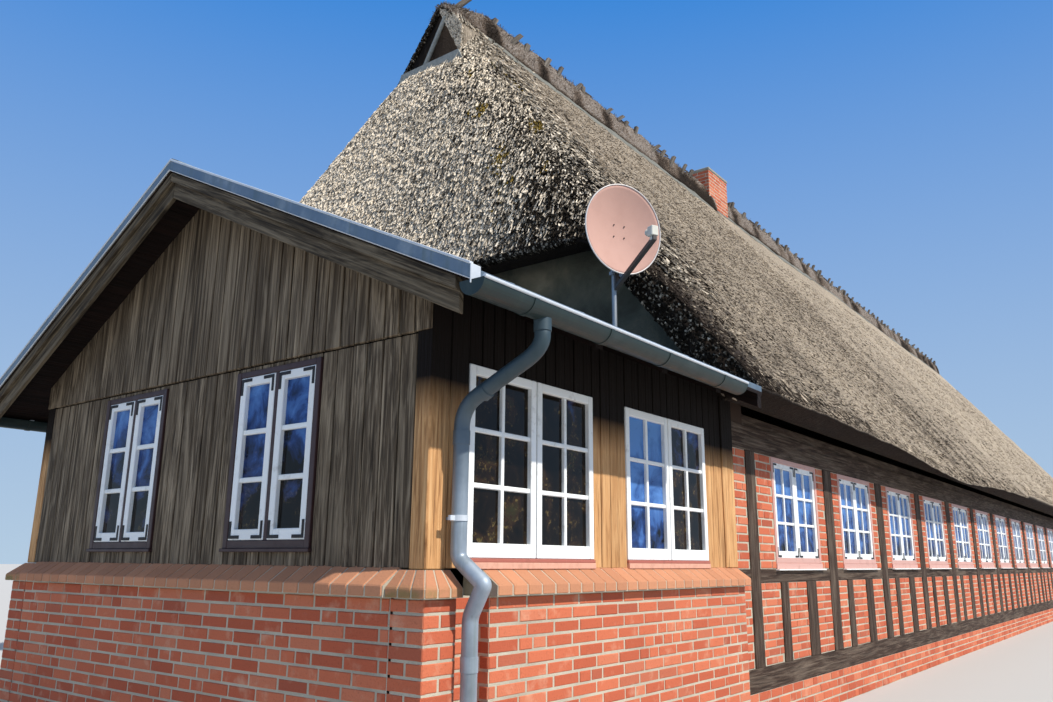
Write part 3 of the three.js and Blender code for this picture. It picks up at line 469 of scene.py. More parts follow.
class Finish:
    """One procedural material, put together from short calls on its node tree, and kept by its name."""

    def __init__(self, name, roughness=0.8, metallic=0.0, **sockets):
        self.material = FINISHES[name] = bpy.data.materials.new(name)
        self.material.use_nodes = True
        self.tree = self.material.node_tree
        self.shader = next(n for n in self.tree.nodes if n.type == "BSDF_PRINCIPLED")
        self.shader.inputs["Roughness"].default_value = roughness
        self.shader.inputs["Metallic"].default_value = metallic
        for label, value in sockets.items():
            self.shader.inputs[label.replace("_", " ")].default_value = value
        self.object_place = self.node("ShaderNodeTexCoord").outputs["Object"]
        self.grain = self.node("ShaderNodeUVMap", uv_map="Grain").outputs["UV"]

    def node(self, kind, inputs=None, **settings):
        """Adds a node, sets it, and feeds its inputs by label or number."""
        made = self.tree.nodes.new(kind)
        for key, value in settings.items():
            setattr(made, key, value)
        for label, value in (inputs or {}).items():
            self.feed(made.inputs[label], value)
        return made

    def feed(self, socket, value):
        """Links another node's output, or sets a plain number, colour or vector."""
        if isinstance(value, bpy.types.NodeSocket):
            self.tree.links.new(value, socket)
        elif socket.type == "RGBA":
            socket.default_value = (*value[:3], 1.0)
        else:
            socket.default_value = value

    def read(self, attribute):
        """A value stored on the mesh, such as each piece's tint."""
        return self.node("ShaderNodeAttribute", attribute_name=attribute).outputs["Fac"]

    def stretch(self, place, scale):
        """A place multiplied by a scale for each axis."""
        return self.node("ShaderNodeMapping", {"Vector": place, "Scale": scale}).outputs[0]

    def noise(self, scale, detail=3.0, rough=0.6, distortion=0.0, place=None):
        """Cloudy noise from 0 to 1 in the object's own place, or in another one."""
        return self.node("ShaderNodeTexNoise", {
            "Vector": place or self.object_place, "Scale": scale, "Detail": detail, "Roughness": rough,
            "Distortion": distortion,
        }).outputs["Fac"]

    def streaks(self, across, along, *settings):
        """Noise drawn out along the grain, from its scales across and along."""
        return self.noise(1.0, *settings, place=self.stretch(self.grain, (across, along, 1)))

    def height(self):
        """Height within the object's own place."""
        return self.node("ShaderNodeSeparateXYZ", {0: self.object_place}).outputs["Z"]

    def times(self, a, b):
        """Product of two values."""
        return self.node("ShaderNodeMath", {0: a, 1: b}, operation="MULTIPLY").outputs[0]

    def plus(self, a, b):
        """Sum of two values."""
        return self.node("ShaderNodeMath", {0: a, 1: b}, operation="ADD").outputs[0]

    def centred(self, value, weight):
        """A value from 0 to 1 moved to lie evenly about 0, times a weight."""
        return self.times(self.plus(value, -0.5), weight)

    def span(self, value, low, high, out_low=0.0, out_high=1.0):
        """Spreads the part of a value between low and high over another range."""
        return self.node("ShaderNodeMapRange", {
            "Value": value, "From Min": low, "From Max": high, "To Min": out_low, "To Max": out_high,
        }).outputs[0]

    def ramp(self, value, *stops):
        """Colour along stops, each (place, colour)."""
        made = self.node("ShaderNodeValToRGB", {"Fac": value})
        elements = made.color_ramp.elements
        while len(elements) < len(stops):
            elements.new(0.5)
        for element, (where, colour) in zip(elements, stops):
            element.position = where
            element.color = (*colour, 1.0)
        return made.outputs["Color"]

    def reed_tones(self, value, light, dark, places, deepest):
        """From a near-black tone, used for painted shade in hollows and under the thatch, through the dark
        tone to the light one, at four places.
        """
        tones = (shade(dark, deepest), dark, blend(dark, light, 0.46), light)
        return self.ramp(value, *zip(places, tones))

    def mix(self, share, a, b):
        """Colour a plus the share of the way to colour b."""
        made = self.node("ShaderNodeMix", data_type="RGBA")
        for index, value in ((0, share), (6, a), (7, b)):
            self.feed(made.inputs[index], value)
        return made.outputs[2]

    def stain(self, tone, value, low, high, share, colour):
        """Lays a colour over a tone, up to a share, where a value passes from low to high."""
        return self.mix(self.span(value, low, high, 0, share), tone, colour)

    def colour(self, value):
        """Base colour from a value or a link."""
        self.feed(self.shader.inputs["Base Color"], value)

    def roughness(self, value):
        """Roughness from a value or a link."""
        self.feed(self.shader.inputs["Roughness"], value)

    def bump(self, height, distance, strength=1.0):
        """Surface relief from a height between 0 and 1 times a distance."""
        made = self.node("ShaderNodeBump", {"Height": height, "Distance": distance, "Strength": strength})
        self.feed(self.shader.inputs["Normal"], made.outputs[0])


def shade(colour, factor):
    """A lighter or darker version of a colour."""
    return tuple(min(1.0, part * factor) for part in colour[:3])


def blend(a, b, share):
    """A colour part of the way from one to another."""
    return tuple(x + (y - x) * share for x, y in zip(a[:3], b[:3]))


def finish_thatch(colours):
    """Weathered reed: fine stalks along the slope, light ends and painted shade in the hollows between them,
    lichen on the patches.
    """
    made = Finish("old thatch", 0.95, Specular_IOR_Level=0.15)
    stalks = made.streaks(95, 22, 5, 0.7)
    broad = made.noise(0.9, 4, 0.65)
    tufts = made.streaks(28, 9, 3, 0.6)
    light, dark = colours.reed_light[:], colours.reed_dark[:]
    value = made.plus(made.times(stalks, 0.65), made.times(tufts, 0.35))
    value = made.plus(value, made.centred(made.read("tint"), 0.6))
    value = made.plus(value, made.centred(broad, 0.16))
    tone = made.reed_tones(value, light, dark, (0.22, 0.37, 0.52, 0.76), 0.5)
    moss = made.times(made.read("patch"), made.span(made.noise(9, 3), 0.5, 0.62))
    made.colour(made.mix(moss, tone, paint(112, 96, 56)))
    made.bump(made.plus(stalks, made.times(tufts, 1.5)), 0.03)


def finish_reed(name, light, dark):
    """A bundle's loose end: one tone each, from near black to bleached; the lowest tones, given on shaded cut
    ends, are painted shade.
    """
    made = Finish(name, 0.95, Specular_IOR_Level=0.1)
    fleck = made.streaks(260, 40, 2)
    value = made.plus(made.read("tint"), made.centred(fleck, 0.5))
    tone = made.reed_tones(value, light, dark, (0.0, 0.28, 0.54, 0.84), 0.45)
    made.colour(made.mix(made.read("patch"), tone, paint(118, 98, 42)))
    made.bump(fleck, 0.004)


def finish_heather(colours):
    """Dry heather: brown and grey twigs."""
    made = Finish("heather", 0.95, Specular_IOR_Level=0.1)
    base = colours.heather[:]
    twigs = made.noise(42, 4, 0.75)
    value = made.plus(twigs, made.centred(made.read("tint"), 0.7))
    dry = blend(base, (0.6, 0.55, 0.5), 0.6)
    made.colour(made.ramp(value, (0.3, shade(base, 0.18)), (0.5, base), (0.75, dry)))
    made.bump(twigs, 0.03)


def finish_brick(colours):
    """Fired brick: each one its own red, with dark specks, lime bloom and a few darker bricks."""
    made = Finish("brick", 0.85, Specular_IOR_Level=0.25)
    base = colours.brick[:]
    tone = made.ramp(
        made.read("tint"), (0.0, shade(base, 0.92)), (0.2, base),
        (0.7, blend(base, paint(214, 124, 88), 0.5)), (0.93, blend(base, paint(214, 140, 106), 0.5)),
        (1.0, blend(base, paint(140, 72, 56), 0.45)),
    )
    specks = made.noise(90, 4, 0.7)
    clouds = made.noise(7, 4, 0.6)
    tone = made.stain(tone, specks, 0.56, 0.75, 0.5, shade(base, 0.35))
    tone = made.stain(tone, clouds, 0.56, 0.8, 0.45, paint(222, 190, 160))
    made.colour(tone)
    made.bump(specks, 0.004)


def finish_sill_brick(colours):
    """Paler, softer brick of the sills, greened along its lower edges."""
    made = Finish("sill brick", 0.85, Specular_IOR_Level=0.25)
    base = blend(colours.brick[:], paint(200, 146, 110), 0.8)
    specks = made.noise(80, 4, 0.7)
    clouds = made.noise(9, 4, 0.65)
    tone = made.stain(base, made.read("tint"), 0, 1, 0.5, shade(base, 0.7))
    tone = made.stain(tone, specks, 0.55, 0.75, 0.45, shade(base, 0.45))
    height = made.height()
    edge = made.times(made.span(height, 1.19, 1.15), made.span(clouds, 0.35, 0.6))
    edge = made.times(edge, made.read("patch"))
    made.colour(made.mix(made.times(edge, 0.75), tone, paint(112, 112, 62)))
    made.bump(specks, 0.004)


def finish_mortar(colours):
    """Lime mortar: sandy, darker in clouds."""
    made = Finish("lime mortar", 0.95, Specular_IOR_Level=0.15)
    base = colours.mortar[:]
    sand = made.noise(120, 4, 0.7)
    clouds = made.noise(2.5, 5, 0.6)
    tone = made.stain(base, clouds, 0.4, 0.7, 0.6, shade(base, 0.55))
    made.colour(made.stain(tone, sand, 0.5, 0.8, 0.35, shade(base, 0.4)))
    made.bump(sand, 0.006)


def finish_wood(name, base, light, dark, roughness=0.8, weather=0.5, painted_eave_shade=None):
    """Rough-sawn board: long grain, dark veins, a paler bloom, and painted eave shade, near black, above the
    given heights.
    """
    made = Finish(name, roughness, Specular_IOR_Level=0.2)
    grain = made.streaks(60, 2.2, 5, 0.65, 0.6)
    veins = made.streaks(14, 0.8, 3, 0.6, 1.6)
    tone = made.ramp(grain, (0.3, dark), (0.5, base), (0.72, light))
    tone = made.stain(tone, veins, 0.55, 0.68, 0.75, dark)
    tone = made.stain(tone, made.read("tint"), 0, 1, 0.55, shade(base, 0.6))
    bloom = made.streaks(9, 1.1, 4, 0.65, 1.2)
    tone = made.stain(tone, bloom, 0.48, 0.66, weather, light)
    # Painted shade under the eave: the wood turns near black above these heights
    if painted_eave_shade:
        height = made.height()
        tone = made.mix(made.span(height, *painted_eave_shade), tone, shade(dark, 0.03))
    made.colour(tone)
    made.bump(made.plus(grain, veins), 0.008)


def finish_zinc(name, base, metallic=0.5, above=None, stain=0.35):
    """Weathered zinc: dull blue grey with cloudy staining, and painted shade higher up where a second colour
    is given.
    """
    made = Finish(name, 0.42, metallic)
    clouds = made.noise(3.2, 5, 0.65)
    runs = made.noise(1.0, 3, place=made.stretch(made.object_place, (18, 18, 1.2)))
    pale = blend(base, (0.75, 0.8, 0.8), stain)
    tone = made.ramp(clouds, (0.3, shade(base, 0.72)), (0.55, base), (0.8, pale))
    tone = made.stain(tone, runs, 0.52, 0.7, stain, paint(96, 108, 92))
    # Painted shade on the upper part: the second colour takes over from 1.35 m to 2.15 m up
    if above:
        height = made.height()
        tone = made.stain(tone, height, 1.35, 2.15, 0.92, above)
    made.colour(tone)
    made.roughness(made.span(clouds, 0.3, 0.7, 0.34, 0.6))
    made.bump(clouds, 0.002)


def finish_paint(name, base, dirt, roughness=0.45):
    """Brushed paint on wood with cloudy grime and faint grain."""
    made = Finish(name, roughness)
    grain = made.streaks(90, 4, 3)
    grime = made.noise(11, 5, 0.7)
    tone = made.stain(base, grime, 0.56, 0.78, 0.55, dirt)
    made.colour(made.stain(tone, made.read("tint"), 0, 1, 0.12, dirt))
    made.roughness(made.span(grime, 0.3, 0.8, roughness - 0.08, roughness + 0.2))
    made.bump(grain, 0.0015)


def finish_glass():
    """Old window glass: a painted dim room behind it with painted reflections of lit leaves, and a painted
    sky reflection, bluer high up and where the tint is high.
    """
    made = Finish("window glass", 0.03, Transmission_Weight=0.08, Specular_IOR_Level=0.18)
    shapes = made.noise(5.0, 5, 0.6, 0.5)
    waves = made.noise(2.2, 2)
    # A dim room behind the glass, painted as shade, with painted reflections of lit leaves
    room = made.ramp(
        shapes, (0.36, paint(8, 6, 4)), (0.52, paint(24, 16, 10)), (0.6, paint(46, 31, 17)),
        (0.7, paint(44, 46, 24)),
    )
    leaves = made.noise(34.0, 4, 0.7, 0.8)
    lit = made.times(made.span(leaves, 0.56, 0.66), made.span(shapes, 0.46, 0.58))
    room = made.mix(made.times(lit, 0.75), room, paint(112, 96, 54))
    height = made.height()
    # A painted sky reflection, its share growing with the tint and with height
    open_sky = made.plus(made.read("tint"), made.times(shapes, 1.6))
    open_sky = made.plus(open_sky, made.span(height, 1.3, 2.35, 0, 0.8))
    sky = made.mix(made.span(open_sky, 1.95, 2.4), paint(44, 80, 146), paint(98, 150, 218))
    made.colour(made.stain(room, open_sky, 1.7, 2.05, 0.85, sky))
    made.bump(waves, 0.006, 0.25)


def finish_stucco(colours):
    """Damp render over the old end wall: dark, blotched, with paler worn patches."""
    made = Finish("stucco", 0.9, Specular_IOR_Level=0.2)
    base = colours.stucco[:]
    clouds = made.noise(2.1, 6, 0.62, 0.4)
    sand = made.noise(60, 4, 0.7)
    tone = made.ramp(
        clouds, (0.34, shade(base, 0.68)), (0.48, base), (0.6, blend(base, paint(160, 152, 128), 0.4)),
        (0.72, paint(160, 152, 130)),
    )
    made.colour(made.stain(tone, sand, 0.55, 0.8, 0.3, shade(base, 0.4)))
    made.bump(made.plus(sand, made.times(clouds, 3)), 0.008)


def finish_plain(name, base, roughness=0.5, metallic=0.0, scale=14.0, depth=0.3):
    """One colour with soft staining and a little unevenness."""
    made = Finish(name, roughness, metallic)
    stain = made.noise(scale, 4, 0.65)
    made.colour(made.stain(base, stain, 0.45, 0.75, depth, shade(base, 0.5)))
    made.roughness(made.span(stain, 0.3, 0.7, max(roughness - 0.08, 0.05), min(roughness + 0.12, 1)))
    made.bump(stain, 0.001)


def finish_floor():
    """Flat-laid brick floor."""
    made = Finish("brick floor", 0.85)
    pattern = made.node("ShaderNodeTexBrick", {
        "Vector": made.object_place, "Scale": 1.0,
        "Mortar Size": 0.006, "Brick Width": 0.243, "Row Height": 0.12,
        "Color1": paint(150, 84, 60), "Color2": paint(120, 66, 50), "Mortar": paint(120, 108, 92),
    })
    made.colour(pattern.outputs["Color"])
    made.bump(made.plus(pattern.outputs["Fac"], made.noise(30, 3)), 0.003)


def make_finishes():
    """Every finish once."""
    colours = bpy.context.scene.cottage_colours
    finish_thatch(colours)
    finish_reed("reed ends", colours.reed_light[:], colours.reed_dark[:])
    finish_reed(
        "half hip reed ends", blend(colours.reed_light[:], paint(242, 228, 206), 0.75), paint(36, 30, 23))
    finish_heather(colours)
    finish_plain("ridge liner", paint(112, 112, 104), 0.9, 0.0, 7.0, 0.8)
    finish_plain("shaded boards", paint(40, 35, 30), 0.95, 0.0, 30.0, 0.6)
    finish_plain("grey sill board", paint(150, 152, 146), 0.85, 0.0, 24.0, 0.7)
    finish_brick(colours)
    finish_sill_brick(colours)
    finish_mortar(colours)
    finish_wood(
        "silvered boards", colours.gable_boards[:], paint(182, 164, 138), paint(20, 15, 11), weather=0.42)
    # The brown boards and corner posts get painted eave shade, darkening from 1.98 m up to near black at 2.2
    # m
    finish_wood(
        "brown boards", colours.side_boards[:], paint(228, 186, 134), paint(112, 74, 42), weather=0.35,
        painted_eave_shade=(1.98, 2.2))
    finish_wood("old timber", colours.timber[:], paint(120, 106, 92), paint(30, 23, 18))
    finish_wood("verge boards", paint(74, 64, 50), paint(142, 128, 106), paint(16, 12, 9))
    # Soffit boards: dark red-brown, darkened to near black as painted shade under the eaves
    finish_wood("soffit boards", paint(24, 13, 9), paint(36, 21, 15), paint(10, 6, 4))
    # Near-black backing: painted shade in the gaps between boards and under the upper gable boards
    finish_wood("backing in painted shade", paint(26, 21, 17), paint(40, 33, 27), paint(12, 10, 8))
    finish_wood("oak pegs", paint(92, 84, 76), paint(150, 142, 130), paint(40, 35, 31))
    finish_zinc("zinc", colours.zinc[:])
    # The downpipe's second colour is painted shade on its upper part
    finish_zinc("pipe zinc", paint(156, 168, 180), 0.3, paint(30, 54, 62))
    finish_zinc("gutter zinc", paint(34, 50, 50), 0.2, None, 0.06)
    finish_paint("white paint", colours.window_paint[:], paint(150, 146, 132))
    finish_paint("brown paint", paint(58, 34, 32), paint(28, 20, 18))
    finish_paint("pink paint", paint(206, 160, 148), paint(140, 104, 92))
    finish_paint("red paint", paint(168, 96, 80), paint(110, 66, 56))
    finish_plain("rosy mortar", paint(212, 160, 138), 0.9, 0.0, 26.0, 0.4)
    finish_plain("black iron", paint(30, 29, 30), 0.55, 0.2)
    finish_glass()
    finish_stucco(colours)
    finish_plain("dish shell", colours.dish[:], 0.85, 0.0, 5.0, 0.14)
    finish_plain("dish rim", paint(206, 200, 196), 0.45, 0.2)
    finish_plain("galvanised steel", paint(150, 156, 160), 0.42, 0.7)
    finish_plain("dark steel", paint(74, 70, 68), 0.5, 0.4)
    finish_plain("pale plastic", paint(206, 204, 192), 0.5)
    # Pale metal of clips, clamps and trims; on the gutters' rolled front edges it is a painted glint
    finish_plain("bright edge", paint(206, 212, 218), 0.4, 0.2)
    finish_floor()
    finish_plain("cement lip", paint(150, 146, 134), 0.9, 0.0, 22.0, 0.6)


def front_plane(y):
    """Height of the front slope's plane over y."""
    return EAVE_Z + SLOPE * (y - EAVE_Y)


def half_hip_plane(x):
    """Height of the half hip's plane over x."""
    return HALF_HIP_Z + HALF_HIP_RISE * (x - VERGE_X)


def sink(rise, depth):
    """Drop from the outside to a share of the thatch's thickness, plumb, on a slope of that rise."""
    return depth * THATCH * math.hypot(1, rise)


def slopes_height(y, depth):
    """The two long slopes joined at a rounded ridge; depth 0 is the outside and 1 the underside."""
    sunk = sink(SLOPE, depth)
    return smooth_min(front_plane(y) - sunk, front_plane(HOUSE_WIDTH - y) - sunk, RIDGE_ROUND)


def hip_height(x, depth):
    """The steep half hip at the near end and the full hip at the far end, whichever is lower."""
    near = half_hip_plane(x) - sink(HALF_HIP_RISE, depth)
    ledge = half_hip_plane(HIP_END_X) - sink(HALF_HIP_RISE, depth) - OWL_LEDGE * (x > HIP_END_X + EDGE)
    near = np.where(x > OWL_FLOOR_X + EDGE, NO_HIP, np.minimum(near, ledge))
    far = EAVE_Z + FAR_SLOPE * (FAR_EAVE_X - x) - sink(FAR_SLOPE, depth)
    return np.minimum(near, far)


def roof_height(x, y, depth):
    """Slopes and hips together; in front of the hole the half hip runs on until it meets the slope."""
    whole_hip = half_hip_plane(x) - sink(HALF_HIP_RISE, depth)
    hip = np.where((y < HOLE_SIDE_Y) & (x < HIP_RUN_X), whole_hip, hip_height(x, depth))
    behind = limit((y - RIDGE_Y) / 0.4 + 0.5) * (x < OWL_X) * (1 - depth)
    rounding = HIP_ROUND * (1 - INNER_ROUND * depth) * (1 - BACK_ARRIS_SHARPER * behind)
    return smooth_min(slopes_height(y, depth), hip, rounding)


def hole_top(y):
    """Outline of the owl hole: two straight sides that meet under the ridge."""
    beside = y - HOLE_TOP[0]
    return HOLE_TOP[1] - np.where(beside > 0, HOLE_LEFT * beside, -HOLE_RIGHT * beside)


def underside(x, y):
    """Underside of the thatch: sunk by its thickness, cut level at the eaves and arched over the end wall."""
    under = roof_height(x, y, 1)
    under = np.where((x > OWL_X + 0.01) & (x < OWL_X + 0.6), np.maximum(under, hole_top(y)), under)
    arch = np.where(x < VERGE_X + ARCH_DEPTH, np.minimum(slopes_height(y, 1), ARCH_SOFFIT_Z), -9)
    eave = EAVE_Z - EAVE_CUT_FALL * np.minimum(
        np.minimum(y - EAVE_Y, HOUSE_WIDTH - EAVE_Y - y), FAR_EAVE_X - x,
    )
    return np.maximum(np.maximum(under, arch), eave)


def crease(y):
    """Where the newer thatch begins, from the eave up to the ridge."""
    return 16.0 + 1.4 * (y - EAVE_Y) / (RIDGE_Y - EAVE_Y)


def newer_side(x, y):
    """1 on the front slope and all over the far hip, fading out at the ridge."""
    return limit((RIDGE_Y - y) / 0.5 + limit((x - FAR_RIDGE_X) / 0.5 + 1))


def thatch_top(x, y):
    """Outside of the thatch with its sag, the newer patch standing proud, runnels and lumps."""
    height = roof_height(x, y, 0)
    low = limit((RIDGE_Y - y) / (RIDGE_Y - EAVE_Y))
    sag = -SAG_DEPTH * np.exp(-((x - SAG_X) / SAG_REACH) ** 2) * low
    newer = NEWER_PROUD * limit((x - crease(y)) / 0.12) * newer_side(x, y)
    place = coords(x, y, height)
    lumps = sum(rise * wander(place, cell, 11 + n) for n, (rise, cell) in enumerate(LUMPS))
    runnels = RUNNELS * wander(coords(x * 3.2, y * 0.45, 0), 0.5, 14) * low
    calm_edge = 0.5 + 0.5 * limit((y - EAVE_Y) / 0.2)
    return height + np.hypot(1, SLOPE) * (sag + newer + (lumps + runnels) * calm_edge)


def thatch_tone(x, y):
    """Tint and lichen of the thatch: pale on the hip, dark along the near arris, paler and even when new,
    with painted shade past the half hip, by the verge and on the cut end at the owl hole, and worn streaks
    partly darkened as painted shade.
    """
    place = coords(x, y, 0)
    slopes, hip = slopes_height(y, 0), hip_height(x, 0)
    clouds = wander(place, 1.4, 21) * 0.05 + wander(place, 0.4, 22) * 0.04
    # Dark streaks down the lower front slope: worn grooves, their darkness partly painted shade
    streaks = limit(wander(coords(x * 2.2, y * 0.3, 0), 0.5, 25) - 0.25) * limit((x - STREAKS_X) / 2)
    streaks = streaks * limit((crease(y) - x) / 2) * limit((STREAKS_Y - y) / 2)
    front = (y < RIDGE_Y) & (x < ARRIS_END_X)
    below = limit((ARRIS_TOP_Z - np.minimum(slopes, hip)) / 0.8)
    edge = np.exp(-((slopes - hip - 0.15) / ARRIS_REACH) ** 2) * front * below
    # Past the half hip, low on the front slope: painted shade, joined in dark to the arris's own darkening
    after = np.exp(-np.maximum(x - HIP_SHADE_X, 0) / 1.1) * (slopes < hip) * front * (y < HIP_SHADE_Y)
    dark = limit(np.maximum(edge, after * 0.7) * (0.75 + wander(place, 0.35, 23) * 0.5))
    weathered = 0.09 * wander(coords(x * 1.1, y * 0.2, 0), 0.55, 26) * (y > RIDGE_Y) * (slopes < hip)
    tint = MIDDLE_TONE + clouds + weathered - 0.25 * dark - 0.06 * (slopes < hip) - 0.35 * streaks
    # Low on the front slope by the verge: painted shade
    verge = np.exp(-(x - VERGE_X) / 0.4) * limit((VERGE_SHADE_Y - y) / 1.2)
    pale = limit((y - HIP_SHADE_Y) / 1.5) * (hip < slopes)
    newer = limit((x - crease(y)) / 0.15) * newer_side(x, y)
    tint = tint + 0.08 * newer - 0.42 * verge + 0.12 * pale
    # The back slope's cut end at the owl hole: painted shade
    cut_end = (x > HIP_END_X + 0.002) & (x < OWL_FLOOR_X + 0.01) & (y > HOLE_SIDE_Y) & (slopes > CUT_FOOT_Z)
    tint = np.where(cut_end, CUT_TONE, tint)
    lichen = limit(edge * limit(wander(place, 0.16, 24) - 0.42) * 3)
    return limit(tint), lichen * (y < LICHEN_Y)


def stations(*spans):
    """Stations along an axis from (from, to, step) spans."""
    parts = [np.linspace(a, b, max(2, int(round(abs(b - a) / step)) + 1))[:-1] for a, b, step in spans]
    return np.concatenate([*parts, [spans[-1][1]]])


def thatch_coat():
    """The whole coat as one closed skin over a plan grid: lumpy outside above, trimmed underside below.

    The grain coordinate runs across and up each slope, taken from the plane that a point lies on.
    """
    hip_end, floor_end = HIP_END_X + CLIFF, OWL_FLOOR_X + CLIFF
    xs = stations(
        (VERGE_X, HIP_END_X, 0.0165), (HIP_END_X, hip_end, CLIFF), (hip_end, OWL_FLOOR_X, 0.03),
        (OWL_FLOOR_X, floor_end, CLIFF), (floor_end, 8, 0.06), (8, 14, 0.12), (14, 31.4, 0.3),
        (31.4, FAR_EAVE_X, 0.12),
    )
    ys = stations((EAVE_Y, RIDGE_Y, 0.055), (RIDGE_Y, HOUSE_WIDTH - EAVE_Y, 0.1))
    x, y = np.meshgrid(xs, ys, indexing="ij")
    top = thatch_top(x, y)
    under = np.minimum(underside(x, y), top - 0.02)
    n, m = x.shape
    points = np.concatenate([coords(x, y, top).reshape(-1, 3), coords(x, y, under).reshape(-1, 3)])
    i, j = np.meshgrid(np.arange(n - 1), np.arange(m - 1), indexing="ij")
    at = i * m + j
    upper = coords(at, at + m, at + m + 1, at + 1).reshape(-1, 4)
    lower = upper[:, ::-1] + n * m
    border = np.concatenate([
        np.arange(n - 1) * m, (n - 1) * m + np.arange(m - 1), (np.arange(n - 1, 0, -1)) * m + m - 1,
        np.arange(m - 1, 0, -1),
    ])
    ring = np.roll(border, -1)
    sides = coords(border, border + n * m, ring + n * m, ring)
    on_hip = (hip_height(x, 0) < slopes_height(y, 0)).reshape(-1)
    steep = math.hypot(1, SLOPE)
    hip_steep = np.where(x < 10, math.hypot(1, HALF_HIP_RISE), math.hypot(1, FAR_SLOPE)).reshape(-1)
    flat_x, flat_y = x.reshape(-1), y.reshape(-1)
    grain = np.where(on_hip[:, None], coords(flat_y, flat_x * hip_steep), coords(flat_x, flat_y * steep))
    tint, lichen = thatch_tone(flat_x, flat_y)
    shape = Shape(3)
    # The underside takes a fifth of the top's tint: painted shade under the thatch
    shape.add(
        points, [upper, lower, sides], np.concatenate([grain, grain]),
        np.concatenate([tint, tint * 0.2]), np.concatenate([lichen, lichen * 0]),
    )
    return shape


def slope_frame(x, y):
    """Point on the thatch with its outward normal and the way straight down the slope."""
    step = 0.03
    z = thatch_top(x, y)
    rise_x = (thatch_top(x + step, y) - thatch_top(x - step, y)) / (2 * step)
    rise_y = (thatch_top(x, y + step) - thatch_top(x, y - step)) / (2 * step)
    normal = coords(-rise_x, -rise_y, np.ones_like(x))
    normal /= np.linalg.norm(normal, axis=-1, keepdims=True)
    down = normal * normal[:, 2:] - np.array([0, 0, 1.0])
    down /= np.maximum(np.linalg.norm(down, axis=-1, keepdims=True), 1e-6)
    return coords(x, y, z), normal, down


def spikes(shape, place, normal, down, length, radius, lift, fray, droop, tint, patch):
    """Spikes with their roots sunk uphill and their blunt three-cornered ends facing down the slope."""
    random = shape.random
    count = len(place)
    side = np.cross(normal, down)
    down = down + side * random.normal(0, fray, (count, 1))
    down = down + normal * random.normal(0, fray * 0.4, (count, 1)) - np.array([0, 0, droop])
    down /= np.linalg.norm(down, axis=1, keepdims=True)
    side = np.cross(normal, down)
    outward = np.cross(down, side)
    long = length * random.uniform(0.6, 1.3, (count, 1))
    wide = radius * random.uniform(0.5, 1.5, (count, 1))
    tip = place + normal * (lift * random.uniform(0.2, 1.3, (count, 1)))
    root = tip - down * long - normal * 0.02
    turn = random.uniform(0, 2 * np.pi, (count, 1))
    corners = [root]
    for third in range(3):
        angle = turn + third * 2 * np.pi / 3
        corners.append(tip + wide * (np.cos(angle) * side + np.sin(angle) * outward))
    points = np.stack(corners, 1).reshape(-1, 3)
    faces = repeat_faces(SPIKE_FACES, count)
    across = np.tile([0.0, 0.0, 0.01, 0.02], count) + np.repeat(random.uniform(0, 9, count), 4)
    along = np.tile([0.0, 0.08, 0.08, 0.08], count) + np.repeat(random.uniform(0, 9, count), 4)
    shape.add(points, faces, coords(across, along), np.repeat(tint, 4), np.repeat(patch, 4))


def reed_ends(shape, x, y, length, radius, lift, fray=0.22, droop=0.0, dark=0.0, spread=0.2):
    """Loose reed ends over plan points, with the tone and lichen of the thatch there."""
    place, normal, down = slope_frame(x, y)
    tone, lichen = thatch_tone(x, y)
    tint = limit(tone + shape.random.normal(0, 1, len(x)) * spread - dark)
    patch = (shape.random.uniform(0, 1, len(x)) < lichen * 0.9).astype(float)
    spikes(shape, place, normal, down, length, radius, lift, fray, droop, tint, patch)


def cut_butts(shape, count, x, y0, y1, low, high, tone, spread):
    """Reed butts on an upright cut end of the thatch at one x, between two heights over y."""
    random = shape.random
    y = random.uniform(y0, y1, count)
    y = y[high(y) > low(y) + 0.02]
    z = low(y) + (high(y) - low(y)) * random.uniform(0, 1, len(y))
    place = coords(x - random.uniform(0, 0.03, len(y)), y, z)
    out = np.broadcast_to([-1.0, 0.0, -0.12], place.shape)
    level = np.broadcast_to([0.0, 0.0, 1.0], place.shape)
    tint = limit(random.normal(0, spread, len(y)) + tone(y))
    spikes(shape, place, level, out, 0.05, 0.0115, 0.008, 0.2, 0.0, tint, np.zeros(len(y)))


def scatter_plan(random, count, x0, x1, y0, y1, keep):
    """Random plan points in a rectangle where keep(x, y) holds."""
    x = random.uniform(x0, x1, count)
    y = random.uniform(y0, y1, count)
    chosen = keep(x, y)
    return x[chosen], y[chosen]


def build_thatch():
    """The coat itself, in place of the four solids."""
    thatch_coat().build(
        "thatch_coat", "old thatch", "thatch",
        "thatch_front", "thatch_back", "thatch_near_hip", "thatch_far_hip", smooth=True,
    )


def on_near_hip(x, y):
    """Whether a place lies on the half hip: its plane is the lowest, and clear of the owl hole."""
    return (half_hip_plane(x) < slopes_height(y, 0) + 0.35) & ((x < HIP_END_X - 0.01) | (y < HOLE_SIDE_Y))


def beside_hip(random, count):
    """Plan points on the front slope, fewer and fewer away from the half hip and the cut ends."""
    x = OWL_X - 1.0 + random.exponential(0.75, count)
    y = random.uniform(EAVE_Y + 0.8, RIDGE_Y - 0.2, count)
    past = x - VERGE_X - (slopes_height(y, 0) - HALF_HIP_Z) / HALF_HIP_RISE
    past = np.where(y > HOLE_SIDE_Y, x - OWL_FLOOR_X, past)
    keep = (past > 0.01) & (random.uniform(0, 1, count) < np.exp(-past / 0.5))
    return x[keep], y[keep]


def arris_spread(x, y):
    """How mixed the tones are: wide along the near arris, narrow away from it."""
    return 0.19 + 0.18 * np.exp(-((slopes_height(y, 0) - hip_height(x, 0)) / 1.4) ** 2) * (y < RIDGE_Y)


HIP_REED = 0.0098
HOLE_CUT_Z = 7.42
BESIDE_HIP_REEDS = 50000
CUT_REEDS = (9000, 13500)
EDGE_REEDS = (8000, 5500, 3000, 1500)


